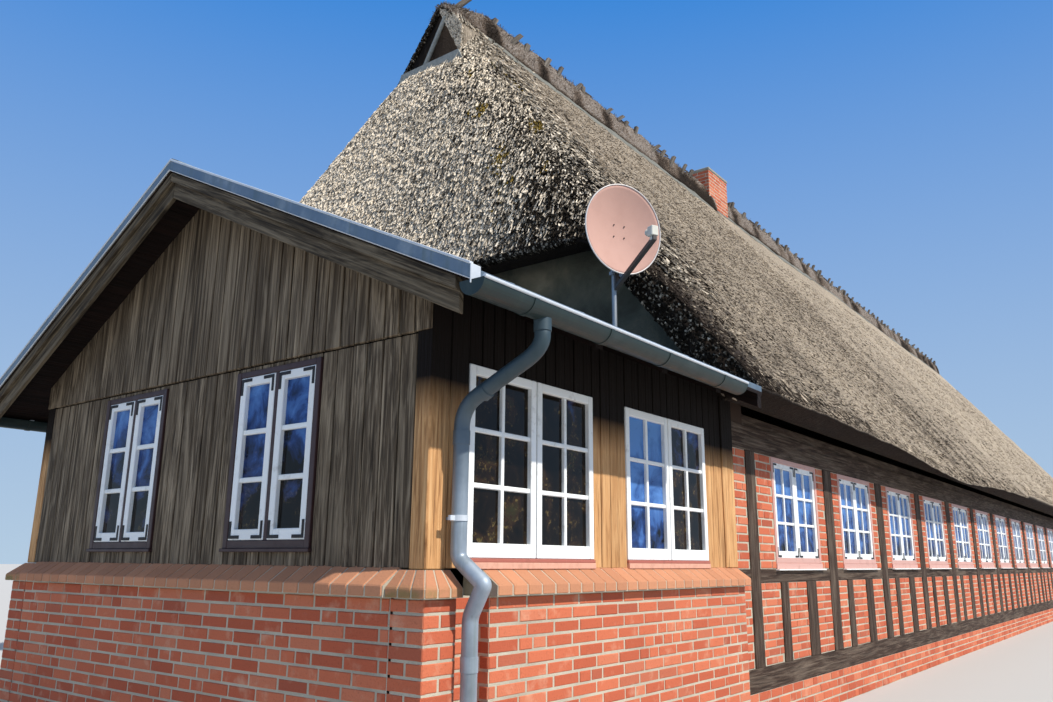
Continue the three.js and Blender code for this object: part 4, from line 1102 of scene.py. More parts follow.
def build_reeds():
    """Loose ends on the half hip, on the slopes nearest to the eye, and along every lower edge."""
    sizes = bpy.context.scene.cottage_sizes
    long = sizes.reed_length
    back_eave = HOUSE_WIDTH - EAVE_Y
    hip = Shape(31)
    x, y = scatter_plan(
        hip.random, int(sizes.hip_reeds * 1.8), VERGE_X, HIP_END_X + 0.24, EAVE_Y + 0.8, back_eave - 0.8,
        on_near_hip,
    )
    reed_ends(hip, x, y, long * 1.6, HIP_REED, 0.016, 0.11, spread=arris_spread(x, y))
    hip.build("reeds_half_hip", "half hip reed ends", "thatch")

    beside = Shape(35)
    x, y = beside_hip(beside.random, BESIDE_HIP_REEDS)
    reed_ends(beside, x, y, long * 1.6, HIP_REED, 0.016, 0.12, spread=arris_spread(x, y))
    beside.build("reeds_beside_hip", "half hip reed ends", "thatch")

    ends = Shape(36)
    hole_reeds, verge_reeds = CUT_REEDS
    # Low tones here are painted shade: near black on the butts behind the ridge in the owl hole, dark on the
    # verge face
    cut_butts(
        ends, hole_reeds, OWL_FLOOR_X, HOLE_SIDE_Y - 0.04, RIDGE_Y + 1.0,
        lambda y: np.maximum(hole_top(y), HOLE_CUT_Z), lambda y: slopes_height(y, 0),
        lambda y: np.where(y > HOLE_TOP[0], 0.1, 0.68), 0.2,
    )
    cut_butts(
        ends, verge_reeds, VERGE_X, EAVE_Y, back_eave,
        lambda y: underside(np.full_like(y, VERGE_X + EDGE), y),
        lambda y: thatch_top(np.full_like(y, VERGE_X), y), lambda y: np.full_like(y, 0.2), 0.17,
    )
    ends.build("reeds_cut_ends", "half hip reed ends", "thatch")

    near = Shape(32)
    share = near.random.uniform(0, 1, sizes.slope_reeds)
    x = VERGE_X + 9.0 * share ** 1.35
    y = near.random.uniform(EAVE_Y + 0.02, RIDGE_Y - 0.4, sizes.slope_reeds)
    keep = slopes_height(y, 0) < hip_height(x, 0) + 0.25
    arris = np.exp(-np.maximum(x[keep] - 3.6, 0) / 0.9)
    reed_ends(near, x[keep], y[keep], long * 0.75, 0.0062, 0.008, spread=0.17 + 0.1 * arris)
    near.build("reeds_near_slope", "reed ends", "thatch")

    far = Shape(34)
    far_x = VERGE_X + 6.5
    count = int(sizes.slope_reeds * 0.5)
    share = far.random.uniform(0, 1, count)
    x = far_x + 22 * share ** 1.5
    y = EAVE_Y + 0.02 + (RIDGE_Y - 0.9 - EAVE_Y) * far.random.uniform(0, 1, count) ** 1.2
    keep = far.random.uniform(0, 1, count) < (x - far_x) / 2.5
    reed_ends(far, x[keep], y[keep], long * 0.9, 0.0078, 0.007, spread=0.17)
    far.build("reeds_far_slope", "reed ends", "thatch")

    edge = Shape(33)
    random = edge.random
    front, verge, back, far_end = EDGE_REEDS
    x = VERGE_X + 0.02 + 31 * random.uniform(0, 1, front) ** 2.2
    y = EAVE_Y + random.exponential(0.03, front)
    reed_ends(edge, x, y, long * 1.1, 0.010, 0.004, 0.3, 0.25, 0.1)
    y = random.uniform(EAVE_Y, back_eave, verge)
    x = VERGE_X + random.exponential(0.015, verge)
    reed_ends(edge, x, y, long * 1.1, 0.010, 0.006, 0.35, 0.2, 0.12)
    x = random.uniform(VERGE_X, FAR_EAVE_X, back)
    y = back_eave - random.exponential(0.03, back)
    reed_ends(edge, x, y, long * 1.3, 0.016, 0.004, 0.3, 0.25, 0.1)
    y = random.uniform(EAVE_Y, back_eave, far_end)
    x = FAR_EAVE_X - random.exponential(0.03, far_end)
    reed_ends(edge, x, y, long * 1.3, 0.016, 0.004, 0.3, 0.25, 0.1)
    edge.build("reeds_eaves", "reed ends", "thatch")


STAKE_ROW = 0.07
TWIGS = 15000
ROLL_TAPER = 0.9
LINER_INNER = 0.14
LINER_OUTER = 0.34


def roll_rise(x, share):
    """Height of the heather over the slopes at a share of its half width: a rounded cosine."""
    body = limit((x - ROLL_X0 - 0.1) / ROLL_TAPER) ** 0.8
    bulge = (ROLL_THICK - ROLL_EDGE) * body * np.cos(np.pi / 2 * np.clip(share, -1, 1)) ** 0.5
    return ROLL_EDGE * (0.3 + 0.7 * body) + bulge


def hollows(x, share):
    """Hollows between the heather bundles, mostly in the lower half of the front side, where the heather is
    dented and darkened with painted shade.
    """
    low = limit(np.where(share < 0, -share * 2.2 - 0.9, 0.15))
    return limit(wander(coords(x, share * 0.4, 0), 0.3, 46) * 1.3 + 0.15) * low


def heather_roll():
    """Arched cap along the ridge: the slopes' height plus a lumpy bulge, fullest in the middle."""
    xs = stations((ROLL_X0 + 0.08, 12, 0.05), (12, ROLL_X1, 0.2))
    share = np.linspace(-1, 1, 25)
    x, s = np.meshgrid(xs, share, indexing="ij")
    edge = 0.92 + 0.10 * wander(coords(x * 1.6, np.sign(s) * 3, 0), 0.5, 41)
    edge = edge + 0.9 * np.exp(-((x - CHIMNEY_X[0] - 0.1) / 0.3) ** 2) * (s < 0)
    y = RIDGE_Y + ROLL_HALF_WIDTH * s * edge
    base = slopes_height(y, 0)
    rise = roll_rise(x, s)
    place = coords(x, y, base)
    lumps = 0.045 * wander(place, 0.32, 42) + 0.03 * wander(place, 0.11, 43)
    dark = hollows(x, s)
    top = base + rise * (1 + lumps * 4) - 0.05 * dark * rise / ROLL_THICK
    over = coords(x, y, top)
    under = coords(x, y, base - 0.05)[:, ::-1]
    # The tint darkens in the hollows: painted shade
    tint = np.concatenate([0.62 - 0.6 * dark, np.full_like(dark, 0.1)], 1)
    shape = Shape(4)
    shape.loft(np.concatenate([over, under], 1), tint.reshape(-1))
    return shape


def ridge_liner(side):
    """Strip of sheet under the heather on one side: it lies on the thatch and shows below the roll."""
    xs = stations((ROLL_X0 + 0.75, 12, 0.06), (12, ROLL_X1, 0.25))
    share = np.linspace(0, 1, 5)
    x, s = np.meshgrid(xs, share, indexing="ij")
    outer = LINER_OUTER + 0.025 * wander(coords(x, 0, side), 0.7, 47)
    y = RIDGE_Y + side * (LINER_INNER + (outer - LINER_INNER) * s)
    z = thatch_top(x, y) + 0.012 + 0.008 * wander(coords(x, y * 2, 0), 0.12, 48)
    over, under = coords(x, y, z), coords(x, y, z - 0.02)[:, ::-1]
    return np.concatenate([over, under], 1)


def heather_twigs():
    """Loose twigs lying across the roll, each a thin wedge from a flat root to a point."""
    twigs = Shape(44)
    random = twigs.random
    count = TWIGS
    x = ROLL_X0 + 0.1 + (ROLL_X1 - ROLL_X0 - 0.1) * random.uniform(0, 1, count) ** 1.8
    s = random.uniform(-1.05, 1.05, count)
    y = RIDGE_Y + ROLL_HALF_WIDTH * 0.92 * s
    place = coords(x, y, slopes_height(y, 0) + roll_rise(x, s))
    along, aside, up = (random.normal(0, most, count) for most in (0.6, 0.4, 0.35))
    way = coords(along, s * 0.9 + aside, up)
    way /= np.linalg.norm(way, axis=1, keepdims=True)
    side = np.cross(way, [0.0, 0.0, 1.0])
    side /= np.linalg.norm(side, axis=1, keepdims=True)
    rise = np.cross(side, way)
    long = random.uniform(0.05, 0.13, (count, 1))
    wide = random.uniform(0.002, 0.006, (count, 1))
    root = place - way * long * 0.5 - rise * 0.02
    tip = place + way * long * 0.5 + rise * random.uniform(-0.02, 0.03, (count, 1))
    points = np.stack([root + side * wide, root - side * wide, root + rise * wide * 2, tip], 1)
    # Twigs in the hollows darken: painted shade
    tint = limit(0.6 + random.normal(0, 0.2, count) - 0.55 * hollows(x, s))
    twigs.add(points.reshape(-1, 3), repeat_faces(TWIG_FACES, count), None, np.repeat(tint, 4))
    twigs.build("heather_twigs", "heather", "heather")


def ridge_pegs():
    """Pegs in two rows through the roll, rods from peg to peg, and the pole at the ridge's near end."""
    pegs = Shape(45)
    random = pegs.random
    for row in (-STAKE_ROW, STAKE_ROW):
        steps = random.uniform(0.22, 0.5, int((ROLL_X1 - ROLL_X0) / 0.36))
        x = ROLL_X0 + 0.55 + np.cumsum(steps)
        x = x[x < ROLL_X1 - 0.2]
        count = len(x)
        y = RIDGE_Y + row + random.normal(0, 0.02, count)
        foot = slopes_height(y, 0)
        skin = foot + roll_rise(x, (y - RIDGE_Y) / ROLL_HALF_WIDTH)
        wide, thick = random.uniform(0.034, 0.046, count), random.uniform(0.02, 0.028, count)
        low = coords(x - wide, y - thick, foot - 0.02)
        high = coords(x + wide, y + thick, skin + random.uniform(0.03, 0.10, count))
        lean = leaning(random.normal(0.6, 0.25, count), np.sign(row) * random.uniform(0, 0.2, count))
        pegs.boxes(low, high, 2, None, None, lean)
        ends = coords(x[:-1:3], y[:-1:3], skin[:-1:3] + 0.02)
        for start, length in zip(ends, random.uniform(0.25, 0.5, len(ends))):
            pegs.tube([start, start + [length, 0.0, random.uniform(-0.01, 0.02)]], 0.013, 6)
    pole = [[OWL_X + 0.16, RIDGE_Y, APEX_Z - 0.16], [OWL_X + 0.62, RIDGE_Y, APEX_Z + 0.37]]
    pegs.tube(pole, 0.042, 10)
    pegs.build("ridge_pegs", "oak pegs", "timber")


def build_ridge():
    """Heather roll with loose twigs, the liner strips below it and the pegs that pin it."""
    heather_roll().build("heather_roll", "heather", "heather", "ridge_roll", smooth=True)
    liner = Shape(46)
    for side in (-1, 1):
        liner.loft(ridge_liner(side), 0.5)
    liner.build("ridge_liner", "ridge liner", "heather", smooth=True)
    heather_twigs()
    ridge_pegs()


def leaning(along, aside):
    """Leans boxes over by a share of their height along and across the ridge."""
    def lean_over(corners):
        rise = corners[..., 2] - corners[..., :1, 2]
        corners[..., 0] += rise * along[:, None]
        corners[..., 1] += rise * aside[:, None]

    return lean_over


def hole_or_soffit(y):
    """Upper limit of the boards: the higher of the soffit and the hole's outline."""
    return np.maximum(slopes_height(y, 1), hole_top(y))


def build_owl_hole():
    """Dark boarding at the back of the owl hole, its sill board and one loose pole."""
    boards = Shape(51)
    edges = np.arange(RIDGE_Y - 0.85, RIDGE_Y + 0.85, 0.14)
    x0 = OWL_X + 0.3
    z = np.minimum(hole_or_soffit(edges), hole_or_soffit(edges + 0.13)) - 0.02
    keep = z > CUT_FOOT_Z + 0.1
    edges, z = edges[keep], z[keep]
    boards.boxes(coords(x0, edges, CUT_FOOT_Z), coords(x0 + 0.028, edges + 0.132, z), 2)
    boards.build("owl_boarding", "shaded boards", "boards", "owl_gable")

    sill = Shape(52)
    sill_z, top_z = OWL_SILL
    x0 = OWL_X + SEAT

    def taper(corners):
        rise = HOLE_TOP[1] + 0.06 - corners[..., 2]
        left = np.minimum(rise / HOLE_LEFT, 0.63 + 0.3 * (top_z - corners[..., 2]))
        corners[..., 1] = HOLE_TOP[0] + np.where(CORNERS[:, 1] == 1, left, -rise / HOLE_RIGHT)

    sill.boxes([x0, 0, sill_z], [x0 + 0.028, 1, top_z], 1, 0.3, None, taper)
    sill.tube([[OWL_X + 0.06, 4.02, 8.32], [OWL_X + 0.06, 4.36, 7.72]], 0.030, 8, 0.2)
    sill.build("owl_sill_boards", "grey sill board", "boards", "owl_sill")


COURSE_SHIFT = 0.27
HEADER_SHARE = 0.1


def course_bricks(a0, a1, sizes, row, random):
    """Starts and ends of one course: stretchers a quarter off the next course, a few split in two headers."""
    unit = sizes.brick_length + sizes.brick_joint
    count = int((a1 - a0) / unit) + 3
    shift = unit * (COURSE_SHIFT * (row % 2) + random.uniform(-0.02, 0.02))
    starts = a0 - unit + shift + unit * np.arange(count)
    split = starts[random.uniform(0, 1, count) < HEADER_SHARE]
    starts = np.sort(np.concatenate([starts, split + unit / 2]))
    ends = np.append(starts[1:], starts[-1] + unit)
    return starts + sizes.brick_joint / 2, ends - sizes.brick_joint / 2


def brick_panel(shape, place, a0, a1, z0, z1, gaps=(), out=0.0, depth=0.03):
    """Fills a rectangle of wall with brick faces, in whole courses, leaving out the gaps (from, to)."""
    sizes = bpy.context.scene.cottage_sizes
    rows = max(1, round((z1 - z0) / sizes.course))
    course = (z1 - z0) / rows
    free = []
    start = a0
    for gap in sorted(gaps):
        if gap[0] > start + 0.02:
            free.append((start, min(gap[0], a1)))
        start = max(start, gap[1])
    if start < a1 - 0.02:
        free.append((start, a1))
    random = shape.random
    lows, highs = [], []
    for row in range(rows):
        starts, ends = course_bricks(a0, a1, sizes, row, random)
        bottom = z0 + row * course + sizes.brick_joint / 2
        top = z0 + (row + 1) * course - sizes.brick_joint / 2
        for left, right in free:
            s, e = np.maximum(starts, left + 0.004), np.minimum(ends, right - 0.004)
            keep = e - s > 0.03
            s, e = s[keep], e[keep]
            face = out + random.uniform(-0.002, 0.002, len(s))
            lows.append(coords(s, out - depth, bottom))
            highs.append(coords(e, face, top))
    shape.bricks(np.concatenate(lows), np.concatenate(highs), place)


JOINT_DEPTH = 0.0035
CORNER_INSET = 0.0016
HALF_JOINT = 0.0065
POST_WIDTH = 0.24
RAIL = (1.14, 1.25)
SOLE = (0.30, 0.48)
STUDS = ((0.07, 0.24), (0.71, 0.95))
TIMBER_PROUD = 0.008
TIMBER_DEPTH = 0.1
SILL_TIMBER = 0.05
MORTAR_BACK = 0.0045
PLATE_DEPTH = (0.02, 0.2)
PLATE_HEIGHT = 0.1


def framed_wall(bricks, timbers, place, start, length, windows, first_post, last_post):
    """Timber frame and brick infill: posts in the piers, studs, a rail below the sills, a plate above."""
    piers = [(w + WINDOW_WIDTH + (BAY - WINDOW_WIDTH) / 2) for w in windows[:-1]]
    posts = [first_post, *[(p - POST_WIDTH / 2, p + POST_WIDTH / 2) for p in piers], last_post]
    openings = [(w, w + WINDOW_WIDTH) for w in windows]
    studs = [(w + a, w + b) for w in windows for a, b in STUDS]
    fields = (
        (0.0, SOLE[0], ()), (SOLE[1], RAIL[0], posts + studs), (RAIL[1], WINDOW_HEAD, posts + openings),
    )
    for bottom, top, gaps in fields:
        brick_panel(bricks, place, start, length, bottom, top, gaps)
    beams = [(start, length, *SOLE), (start, length, *RAIL), (start, length, WINDOW_HEAD, WALL_TOP)]
    uprights = [(a, b, SOLE[1], RAIL[0]) for a, b in studs]
    uprights += [(a, b, SOLE[1], WINDOW_HEAD) for a, b in posts]
    for group, grain, proud in ((beams, 0, TIMBER_PROUD - 0.003), (uprights, 2, TIMBER_PROUD)):
        a, b, z0, z1 = np.transpose(group)
        timbers.boxes(coords(a, -TIMBER_DEPTH, z0), coords(b, proud, z1), grain, None, place)


def between(openings, start, end):
    """What is left of a stretch beside and between its openings, as (from, to)."""
    edges = [start, *[edge for opening in openings for edge in opening], end]
    return list(zip(edges[::2], edges[1::2]))


def wall_core(shape, place, a0, a1, windows):
    """Mortar body of a framed wall: a band below the windows, one above, and a block in each pier."""
    sill = WINDOW_SILL - SILL_TIMBER
    piers = between([(w, w + WINDOW_WIDTH) for w in windows], a0, a1)
    rows = [(a, b, sill, WINDOW_HEAD) for a, b in piers]
    rows = [(a0, a1, 0.0, sill), (a0, a1, WINDOW_HEAD, WALL_TOP), *rows]
    a, b, z0, z1 = np.transpose(rows)
    shape.boxes(coords(a, -WALL, z0), coords(b, -MORTAR_BACK, z1), 2, 0.5, place)


LONG_ROW = [FIRST_WINDOW_X + n * BAY for n in range(BAYS)]
FAR_ROW = [RIDGE_Y - WINDOW_WIDTH / 2 + (n - 1) * BAY for n in range(3)]


# Gap between the mortar core and a wall's far corner
CORE_END = 0.005


def build_walls():
    """The three framed brick walls of the house, with the plates above them."""
    long = (HOUSE_X0, HOUSE_X1, LONG_ROW, (3.815, 4.005), (35.2, HOUSE_X1))
    sides = (
        ("front", FRONT, *long, "front_wall_plate"), ("back", BACK, *long, "back_wall_plate"),
        (
            "far_end", FAR_END, 0.0, HOUSE_WIDTH, FAR_ROW, (0.0, POST_WIDTH), (7.96, HOUSE_WIDTH),
            "far_wall_plate",
        ),
    )
    for order, (name, place, a0, a1, windows, first, last, plate) in enumerate(sides):
        core, bricks, timbers = Shape(61 + order), Shape(64 + order), Shape(67 + order)
        inner = WALL + SEAT if name == "far_end" else 0.0
        wall_core(core, place, a0 + inner, a1 - max(inner, CORE_END), windows)
        core.build(f"{name}_mortar", "lime mortar", "brick", f"{name}_wall")
        framed_wall(bricks, timbers, place, a0, a1, windows, first, last)
        bricks.build(f"{name}_bricks", "brick", "brick")
        low, high = PLATE_DEPTH
        timbers.boxes(
            [a0 + inner, -high, WALL_TOP + EDGE], [a1 - inner, -low, WALL_TOP + PLATE_HEIGHT], 0, 0.5, place)
        timbers.build(f"{name}_timbers", "old timber", "timber", plate, bevel=0.004)
    corner = Shape(70)
    corner.boxes(
        [HOUSE_X0 - 0.003, HOUSE_WIDTH - WALL - 0.002, 0.0],
        [HOUSE_X0 + 0.002, HOUSE_WIDTH + 0.006, WALL_TOP], 2)
    corner.build("rendered_corner", "stucco", "stucco")


# Casements: stile, head rail and foot rail of each kind, and the outer frames
HOUSE_SASH = (0.05, 0.045, 0.06)
SIDE_SASH = (0.047, 0.052, 0.076)
GABLE_SASH = (0.052, 0.052, 0.062)
HOUSE_FRAME = 0.045
SIDE_FRAME = 0.03
GABLE_FRAME = 0.042
GABLE_FRAME_FOOT = 0.045
GABLE_FRAME_HEAD = 0.035
ANNEX_FACE = 0.008
IRON_EDGE = 0.008


def sash(a0, a1, z0, z1, wood, columns, rows, bar, face, back=-0.045):
    """Boxes of one casement: two stiles, head and foot rails, and the bars set back between them."""
    stile, head, foot = wood
    left, right, low, high = a0 + stile, a1 - stile, z0 + foot, z1 - head
    parts = [
        (a0, left, back, face, z0, z1, 2), (right, a1, back, face, z0, z1, 2),
        (left, right, back, face - 0.001, z0, low, 0), (left, right, back, face - 0.001, high, z1, 0),
    ]
    for n in range(1, columns):
        middle = left + (right - left) * n / columns
        parts.append((middle - bar / 2, middle + bar / 2, back + 0.006, face - 0.008, low, high, 2))
    for n in range(1, rows):
        middle = low + (high - low) * n / rows
        parts.append((left, right, back + 0.006, face - 0.009, middle - bar / 2, middle + bar / 2, 0))
    return parts


def corner_irons(a0, a1, z0, z1, arm, width, face):
    """L-shaped irons screwed on the corners of a casement, each as two flat bars."""
    parts = []
    for a, way in ((a0, 1), (a1, -1)):
        for z, up in ((z0, 1), (z1, -1)):
            start = a + way * IRON_EDGE
            flat, upright = sorted((start, start + way * arm)), sorted((start, start + way * width))
            lower = sorted((z + up * IRON_EDGE, z + up * (IRON_EDGE + width)))
            tall = sorted((z + up * (IRON_EDGE + width), z + up * (IRON_EDGE + arm)))
            parts.append((*flat, face - 0.001, face + 0.003, *lower, 0))
            parts.append((*upright, face - 0.001, face + 0.003, *tall, 2))
    return parts


def add_parts(shape, parts, place, tint=None):
    """Adds (a0, a1, out0, out1, z0, z1, grain) boxes to a wall."""
    rows = np.array(parts)
    for grain in (0, 2):
        chosen = rows[rows[:, 6] == grain]
        if len(chosen):
            shape.boxes(chosen[:, [0, 2, 4]], chosen[:, [1, 3, 5]], grain, tint, place)


def house_window(paint_parts, frame_parts, iron_parts, glass_parts, sill_parts, a):
    """One window of the house: a pink outer frame, two white sashes of six panes, irons and a drip board."""
    z0, z1, b = WINDOW_SILL, WINDOW_HEAD, a + WINDOW_WIDTH
    left, right, low, high = a + HOUSE_FRAME, b - HOUSE_FRAME, z0 + HOUSE_FRAME, z1 - HOUSE_FRAME
    frame_parts += [
        (a, left, -0.09, 0.004, z0, z1, 2), (right, b, -0.09, 0.004, z0, z1, 2),
        (left, right, -0.09, 0.003, z0, low, 0), (left, right, -0.09, 0.003, high, z1, 0),
    ]
    middle = (a + b) / 2
    for s0, s1 in ((left + 0.002, middle - 0.002), (middle + 0.002, right - 0.002)):
        paint_parts += sash(s0, s1, low, high, HOUSE_SASH, 2, 3, 0.024, -0.004, -0.05)
        iron_parts += corner_irons(s0, s1, low, high, 0.085, 0.016, -0.004)
        glass_parts.append((s0 + 0.03, s1 - 0.03, -0.034, -0.030, low + 0.04, high - 0.03, 2))
    sill_parts += [(a - 0.01, b + 0.01, -0.1, 0.012, z0 - SILL_TIMBER, z0, 0)]
    paint_parts.append((a - 0.03, b + 0.03, -0.06, 0.04, z0 - 0.062, z0 - SILL_TIMBER, 0))


def build_house_windows():
    """Windows of the long walls and both ends, one set of pieces to each wall."""
    walls = (
        ("front", FRONT, LONG_ROW), ("back", BACK, LONG_ROW), ("far_end", FAR_END, FAR_ROW),
        ("near_end", NEAR_END, [NEAR_END_WINDOW_Y]),
    )
    kinds = (
        ("sashes", "white paint", "window_paint", 0.003), ("frames", "pink paint", "window_paint", 0.003),
        ("irons", "black iron", "steel", 0), ("panes", "window glass", "glass", 0),
        ("sills", "pink paint", "window_paint", 0.003),
    )
    for order, (name, place, row) in enumerate(walls):
        lists = [[], [], [], [], []]
        for a in row:
            house_window(*lists, a)
        for parts, (kind, finish, slot, bevel) in zip(lists, kinds):
            shape = Shape(70 + order)
            add_parts(shape, parts, place, HOUSE_SKY if kind == "panes" else None)
            nodes = [f"{name}_glass"] if kind == "panes" else []
            shape.build(f"{name}_window_{kind}", finish, slot, *nodes, bevel=bevel)


def block_faces(x0, x1, y0, y1):
    """The front, left, back and right faces of an upright block, each with its ends."""
    return (
        (facing((1, 0, 0), (0, -1, 0), (0, y0, 0)), x0, x1),
        (facing((0, 1, 0), (-1, 0, 0), (x0, 0, 0)), y0, y1),
        (facing((1, 0, 0), (0, 1, 0), (0, y1, 0)), x0, x1),
        (facing((0, 1, 0), (1, 0, 0), (x1, 0, 0)), y0, y1),
    )


def build_chimney():
    """Brick stack above a mortar body, with a cement lip."""
    core, bricks, lip = Shape(80), Shape(81), Shape(82)
    (x0, x1), (y0, y1) = CHIMNEY_X, CHIMNEY_Y
    inset = JOINT_DEPTH
    core.boxes([x0 + inset, y0 + inset, FLOOR_TOP], [x1 - inset, y1 - inset, CHIMNEY_TOP])
    core.build("chimney_mortar", "lime mortar", "brick", "chimney_stack")
    front, left, back, right = block_faces(x0, x1, y0, y1)
    for place, a0, a1 in (front, back, left, right):
        brick_panel(bricks, place, a0, a1, CHIMNEY_FOOT, CHIMNEY_TOP)
    bricks.build("chimney_bricks", "brick", "brick")
    out = CHIMNEY_LIP
    lip.boxes([x0 - out, y0 - out, CHIMNEY_TOP], [x1 + out, y1 + out, CHIMNEY_TOP + CHIMNEY_CAP])
    lip.build("chimney_lip", "cement lip", "lip", "chimney_cap", bevel=0.012)


GABLE_FACE = facing((0, 1, 0), (-1, 0, 0), (PLINTH_FACE, 0, 0))
ANNEX_X1 = HOUSE_X0 - SEAT
SILL_RISE = (BOARD_FOOT_Z - SILL_FRONT_Z) / SILL_OUT


def sill_bricks(bricks, bed, place, a0, a1):
    """Header bricks laid side by side and sloped outwards, on a mortar bed a little inside their faces."""
    module = 0.125
    count = round((a1 - a0) / module)
    step = (a1 - a0) / count
    starts = a0 + step * np.arange(count)
    wave = bricks.random.uniform(-0.001, 0.0015, count)
    low = coords(starts + 0.005, -0.02, SILL_FRONT_Z - SILL_THICK + wave + 0.002)
    high = coords(starts + step - 0.005, SILL_OUT + wave, SILL_FRONT_Z + wave)

    def slope(corners):
        corners[..., 2] += (SILL_OUT - corners[..., 1]) * SILL_RISE

    bricks.boxes(low, high, 0, None, place, slope)
    foot = PLINTH_TOP + 0.001
    profile = np.array([
        [-0.12, foot], [SILL_OUT - 0.0045, foot], [SILL_OUT - 0.0045, SILL_FRONT_Z - 0.003],
        [0.0, BOARD_FOOT_Z - 0.004], [-0.12, BOARD_FOOT_Z - 0.004],
    ])
    bed.loft(extruded(profile, a0, a1), place=place)


def pier_quoins(bricks, x0, y0, way):
    """Corner pier: in each course a whole face brick on one side and two halves on the other, by turns."""
    top = CAP_EDGE_Z - CAP_EDGE
    rows = round(top / bpy.context.scene.cottage_sizes.course)
    course = top / rows
    y1 = y0 + way * PIER
    front, left, back, right = block_faces(x0, x0 + PIER, min(y0, y1), max(y0, y1))
    faces = (front, left, back, right) if way == 1 else (back, left, front, right)
    for side, (place, a0, a1) in enumerate(faces):
        lows, highs = [], []
        for row in range(rows):
            cuts = (a0, a1) if (row + side) % 2 else (a0, (a0 + a1) / 2, a1)
            for left, right in zip(cuts[:-1], cuts[1:]):
                joint_left = CORNER_INSET if left == a0 else HALF_JOINT
                joint_right = CORNER_INSET if right == a1 else HALF_JOINT
                lows.append([left + joint_left, -0.03, row * course + HALF_JOINT])
                highs.append([right - joint_right, 0.0, (row + 1) * course - HALF_JOINT])
        bricks.bricks(lows, highs, place)


def pier_cap(bricks, bed, mirror):
    """Hipped cap: wedge bricks fan out from the post's foot to the edge, on a bed just below them."""
    inner, outer = -0.01, PLINTH_FACE - CAP_OVERHANG
    foot = CAP_EDGE_Z - CAP_EDGE

    def wedge(f, side, drop, inset):
        near = inner + f * (PIER_INNER - inner)
        far = outer + inset + f * (PIER_INNER - outer - inset)
        rows = [
            (near, inner, foot), (near, inner, CAP_TOP_Z - drop),
            (far, outer + inset, CAP_EDGE_Z - drop), (far, outer + inset, foot),
        ]
        points = np.array(rows)
        if side:
            points = points[:, [1, 0, 2]]
        if mirror:
            points[:, 1] = ANNEX_WIDTH - points[:, 1]
        return points

    for side in (0, 1):
        for n in range(3):
            shares = (n / 3 + 0.012, (n + 1) / 3 - 0.012)
            bricks.loft([wedge(f, side, 0.0, 0.0) for f in shares], bricks.random.uniform(0.3, 1), 1.0)
        bed.loft([wedge(f, side, 0.0035, 0.0035) for f in (0.0, 1.0)])
    low, high = inner - 0.002, PIER_INNER
    ys = (ANNEX_WIDTH - high, ANNEX_WIDTH - low) if mirror else (low, high)
    bed.boxes([low, ys[0], foot], [high, ys[1], CAP_TOP_Z - 0.003])


def build_plinth():
    """Brick plinth, piers, sloping sills and caps of the annex."""
    core, bricks, bed, slopes = Shape(91), Shape(92), Shape(93), Shape(94)
    back = ANNEX_WIDTH
    face = PLINTH_FACE + JOINT_DEPTH
    inner = PLINTH_FACE + 0.23
    core.boxes([RECESS_END + JOINT_DEPTH, face, 0], [ANNEX_X1, inner, PLINTH_TOP])
    core.boxes([PIER_INNER - 0.02, RECESS_FACE + JOINT_DEPTH, 0], [RECESS_END + 0.02, inner, PLINTH_TOP])
    core.boxes([RECESS_END + JOINT_DEPTH, back - inner, 0], [ANNEX_X1, back - face, PLINTH_TOP])
    core.boxes(
        [PIER_INNER - 0.02, back - inner, 0],
        [RECESS_END + 0.02, back - RECESS_FACE - JOINT_DEPTH, PLINTH_TOP])
    core.boxes([face, PIER_INNER - 0.02, 0], [inner, back - PIER_INNER + 0.02, PLINTH_TOP])
    top = CAP_EDGE_Z - CAP_EDGE
    core.boxes([face, face, 0], [PIER_INNER - JOINT_DEPTH, PIER_INNER - JOINT_DEPTH, top])
    core.boxes([face, back - PIER_INNER + JOINT_DEPTH, 0], [PIER_INNER - JOINT_DEPTH, back - face, top])
    for way, y in ((1, PLINTH_FACE), (-1, back - PLINTH_FACE)):
        recess_y = RECESS_FACE if way == 1 else back - RECESS_FACE
        place = facing((1, 0, 0), (0, -way, 0), (0, y, 0))
        brick_panel(bricks, place, RECESS_END, HOUSE_X0, 0, PLINTH_TOP)
        brick_panel(
            bricks, facing((1, 0, 0), (0, -way, 0), (0, recess_y, 0)), PIER_INNER, RECESS_END, 0, PLINTH_TOP)
        cheek = facing((0, 1, 0), (-1, 0, 0), (RECESS_END, 0, 0))
        brick_panel(bricks, cheek, min(y, recess_y), max(y, recess_y), 0, PLINTH_TOP)
        pier_quoins(bricks, PLINTH_FACE, y, way)
    brick_panel(bricks, GABLE_FACE, PIER_INNER, back - PIER_INNER, 0, PLINTH_TOP)
    for place, a0, a1 in (
        (ANNEX_FRONT, RECESS_END, ANNEX_X1), (ANNEX_BACK, RECESS_END, ANNEX_X1),
        (ANNEX_GABLE, PIER_INNER, back - PIER_INNER),
    ):
        sill_bricks(slopes, bed, place, a0, a1)
    for mirror in (False, True):
        pier_cap(slopes, bed, mirror)
    core.build(
        "annex_plinth_mortar", "lime mortar", "brick", "annex_plinth_front", "annex_plinth_back",
        "annex_plinth_gable", "annex_pier_front", "annex_pier_back",
    )
    bricks.build("annex_plinth_bricks", "brick", "brick")
    bed.build("annex_sill_mortar", "lime mortar", "brick")
    slopes.build(
        "annex_sill_bricks", "sill brick", "brick",
        "annex_sill_front", "annex_sill_back", "annex_sill_gable", bevel=0.005,
    )


def annex_roof_under(y):
    """Underside of the annex roof at y, front and back slopes."""
    front = ANNEX_RIDGE_Z - ANNEX_PITCH * (ANNEX_RIDGE_Y - y)
    back = ANNEX_RIDGE_Z - ANNEX_BACK_PITCH * (y - ANNEX_RIDGE_Y)
    return np.where(y <= ANNEX_RIDGE_Y, front, back) - ANNEX_ROOF


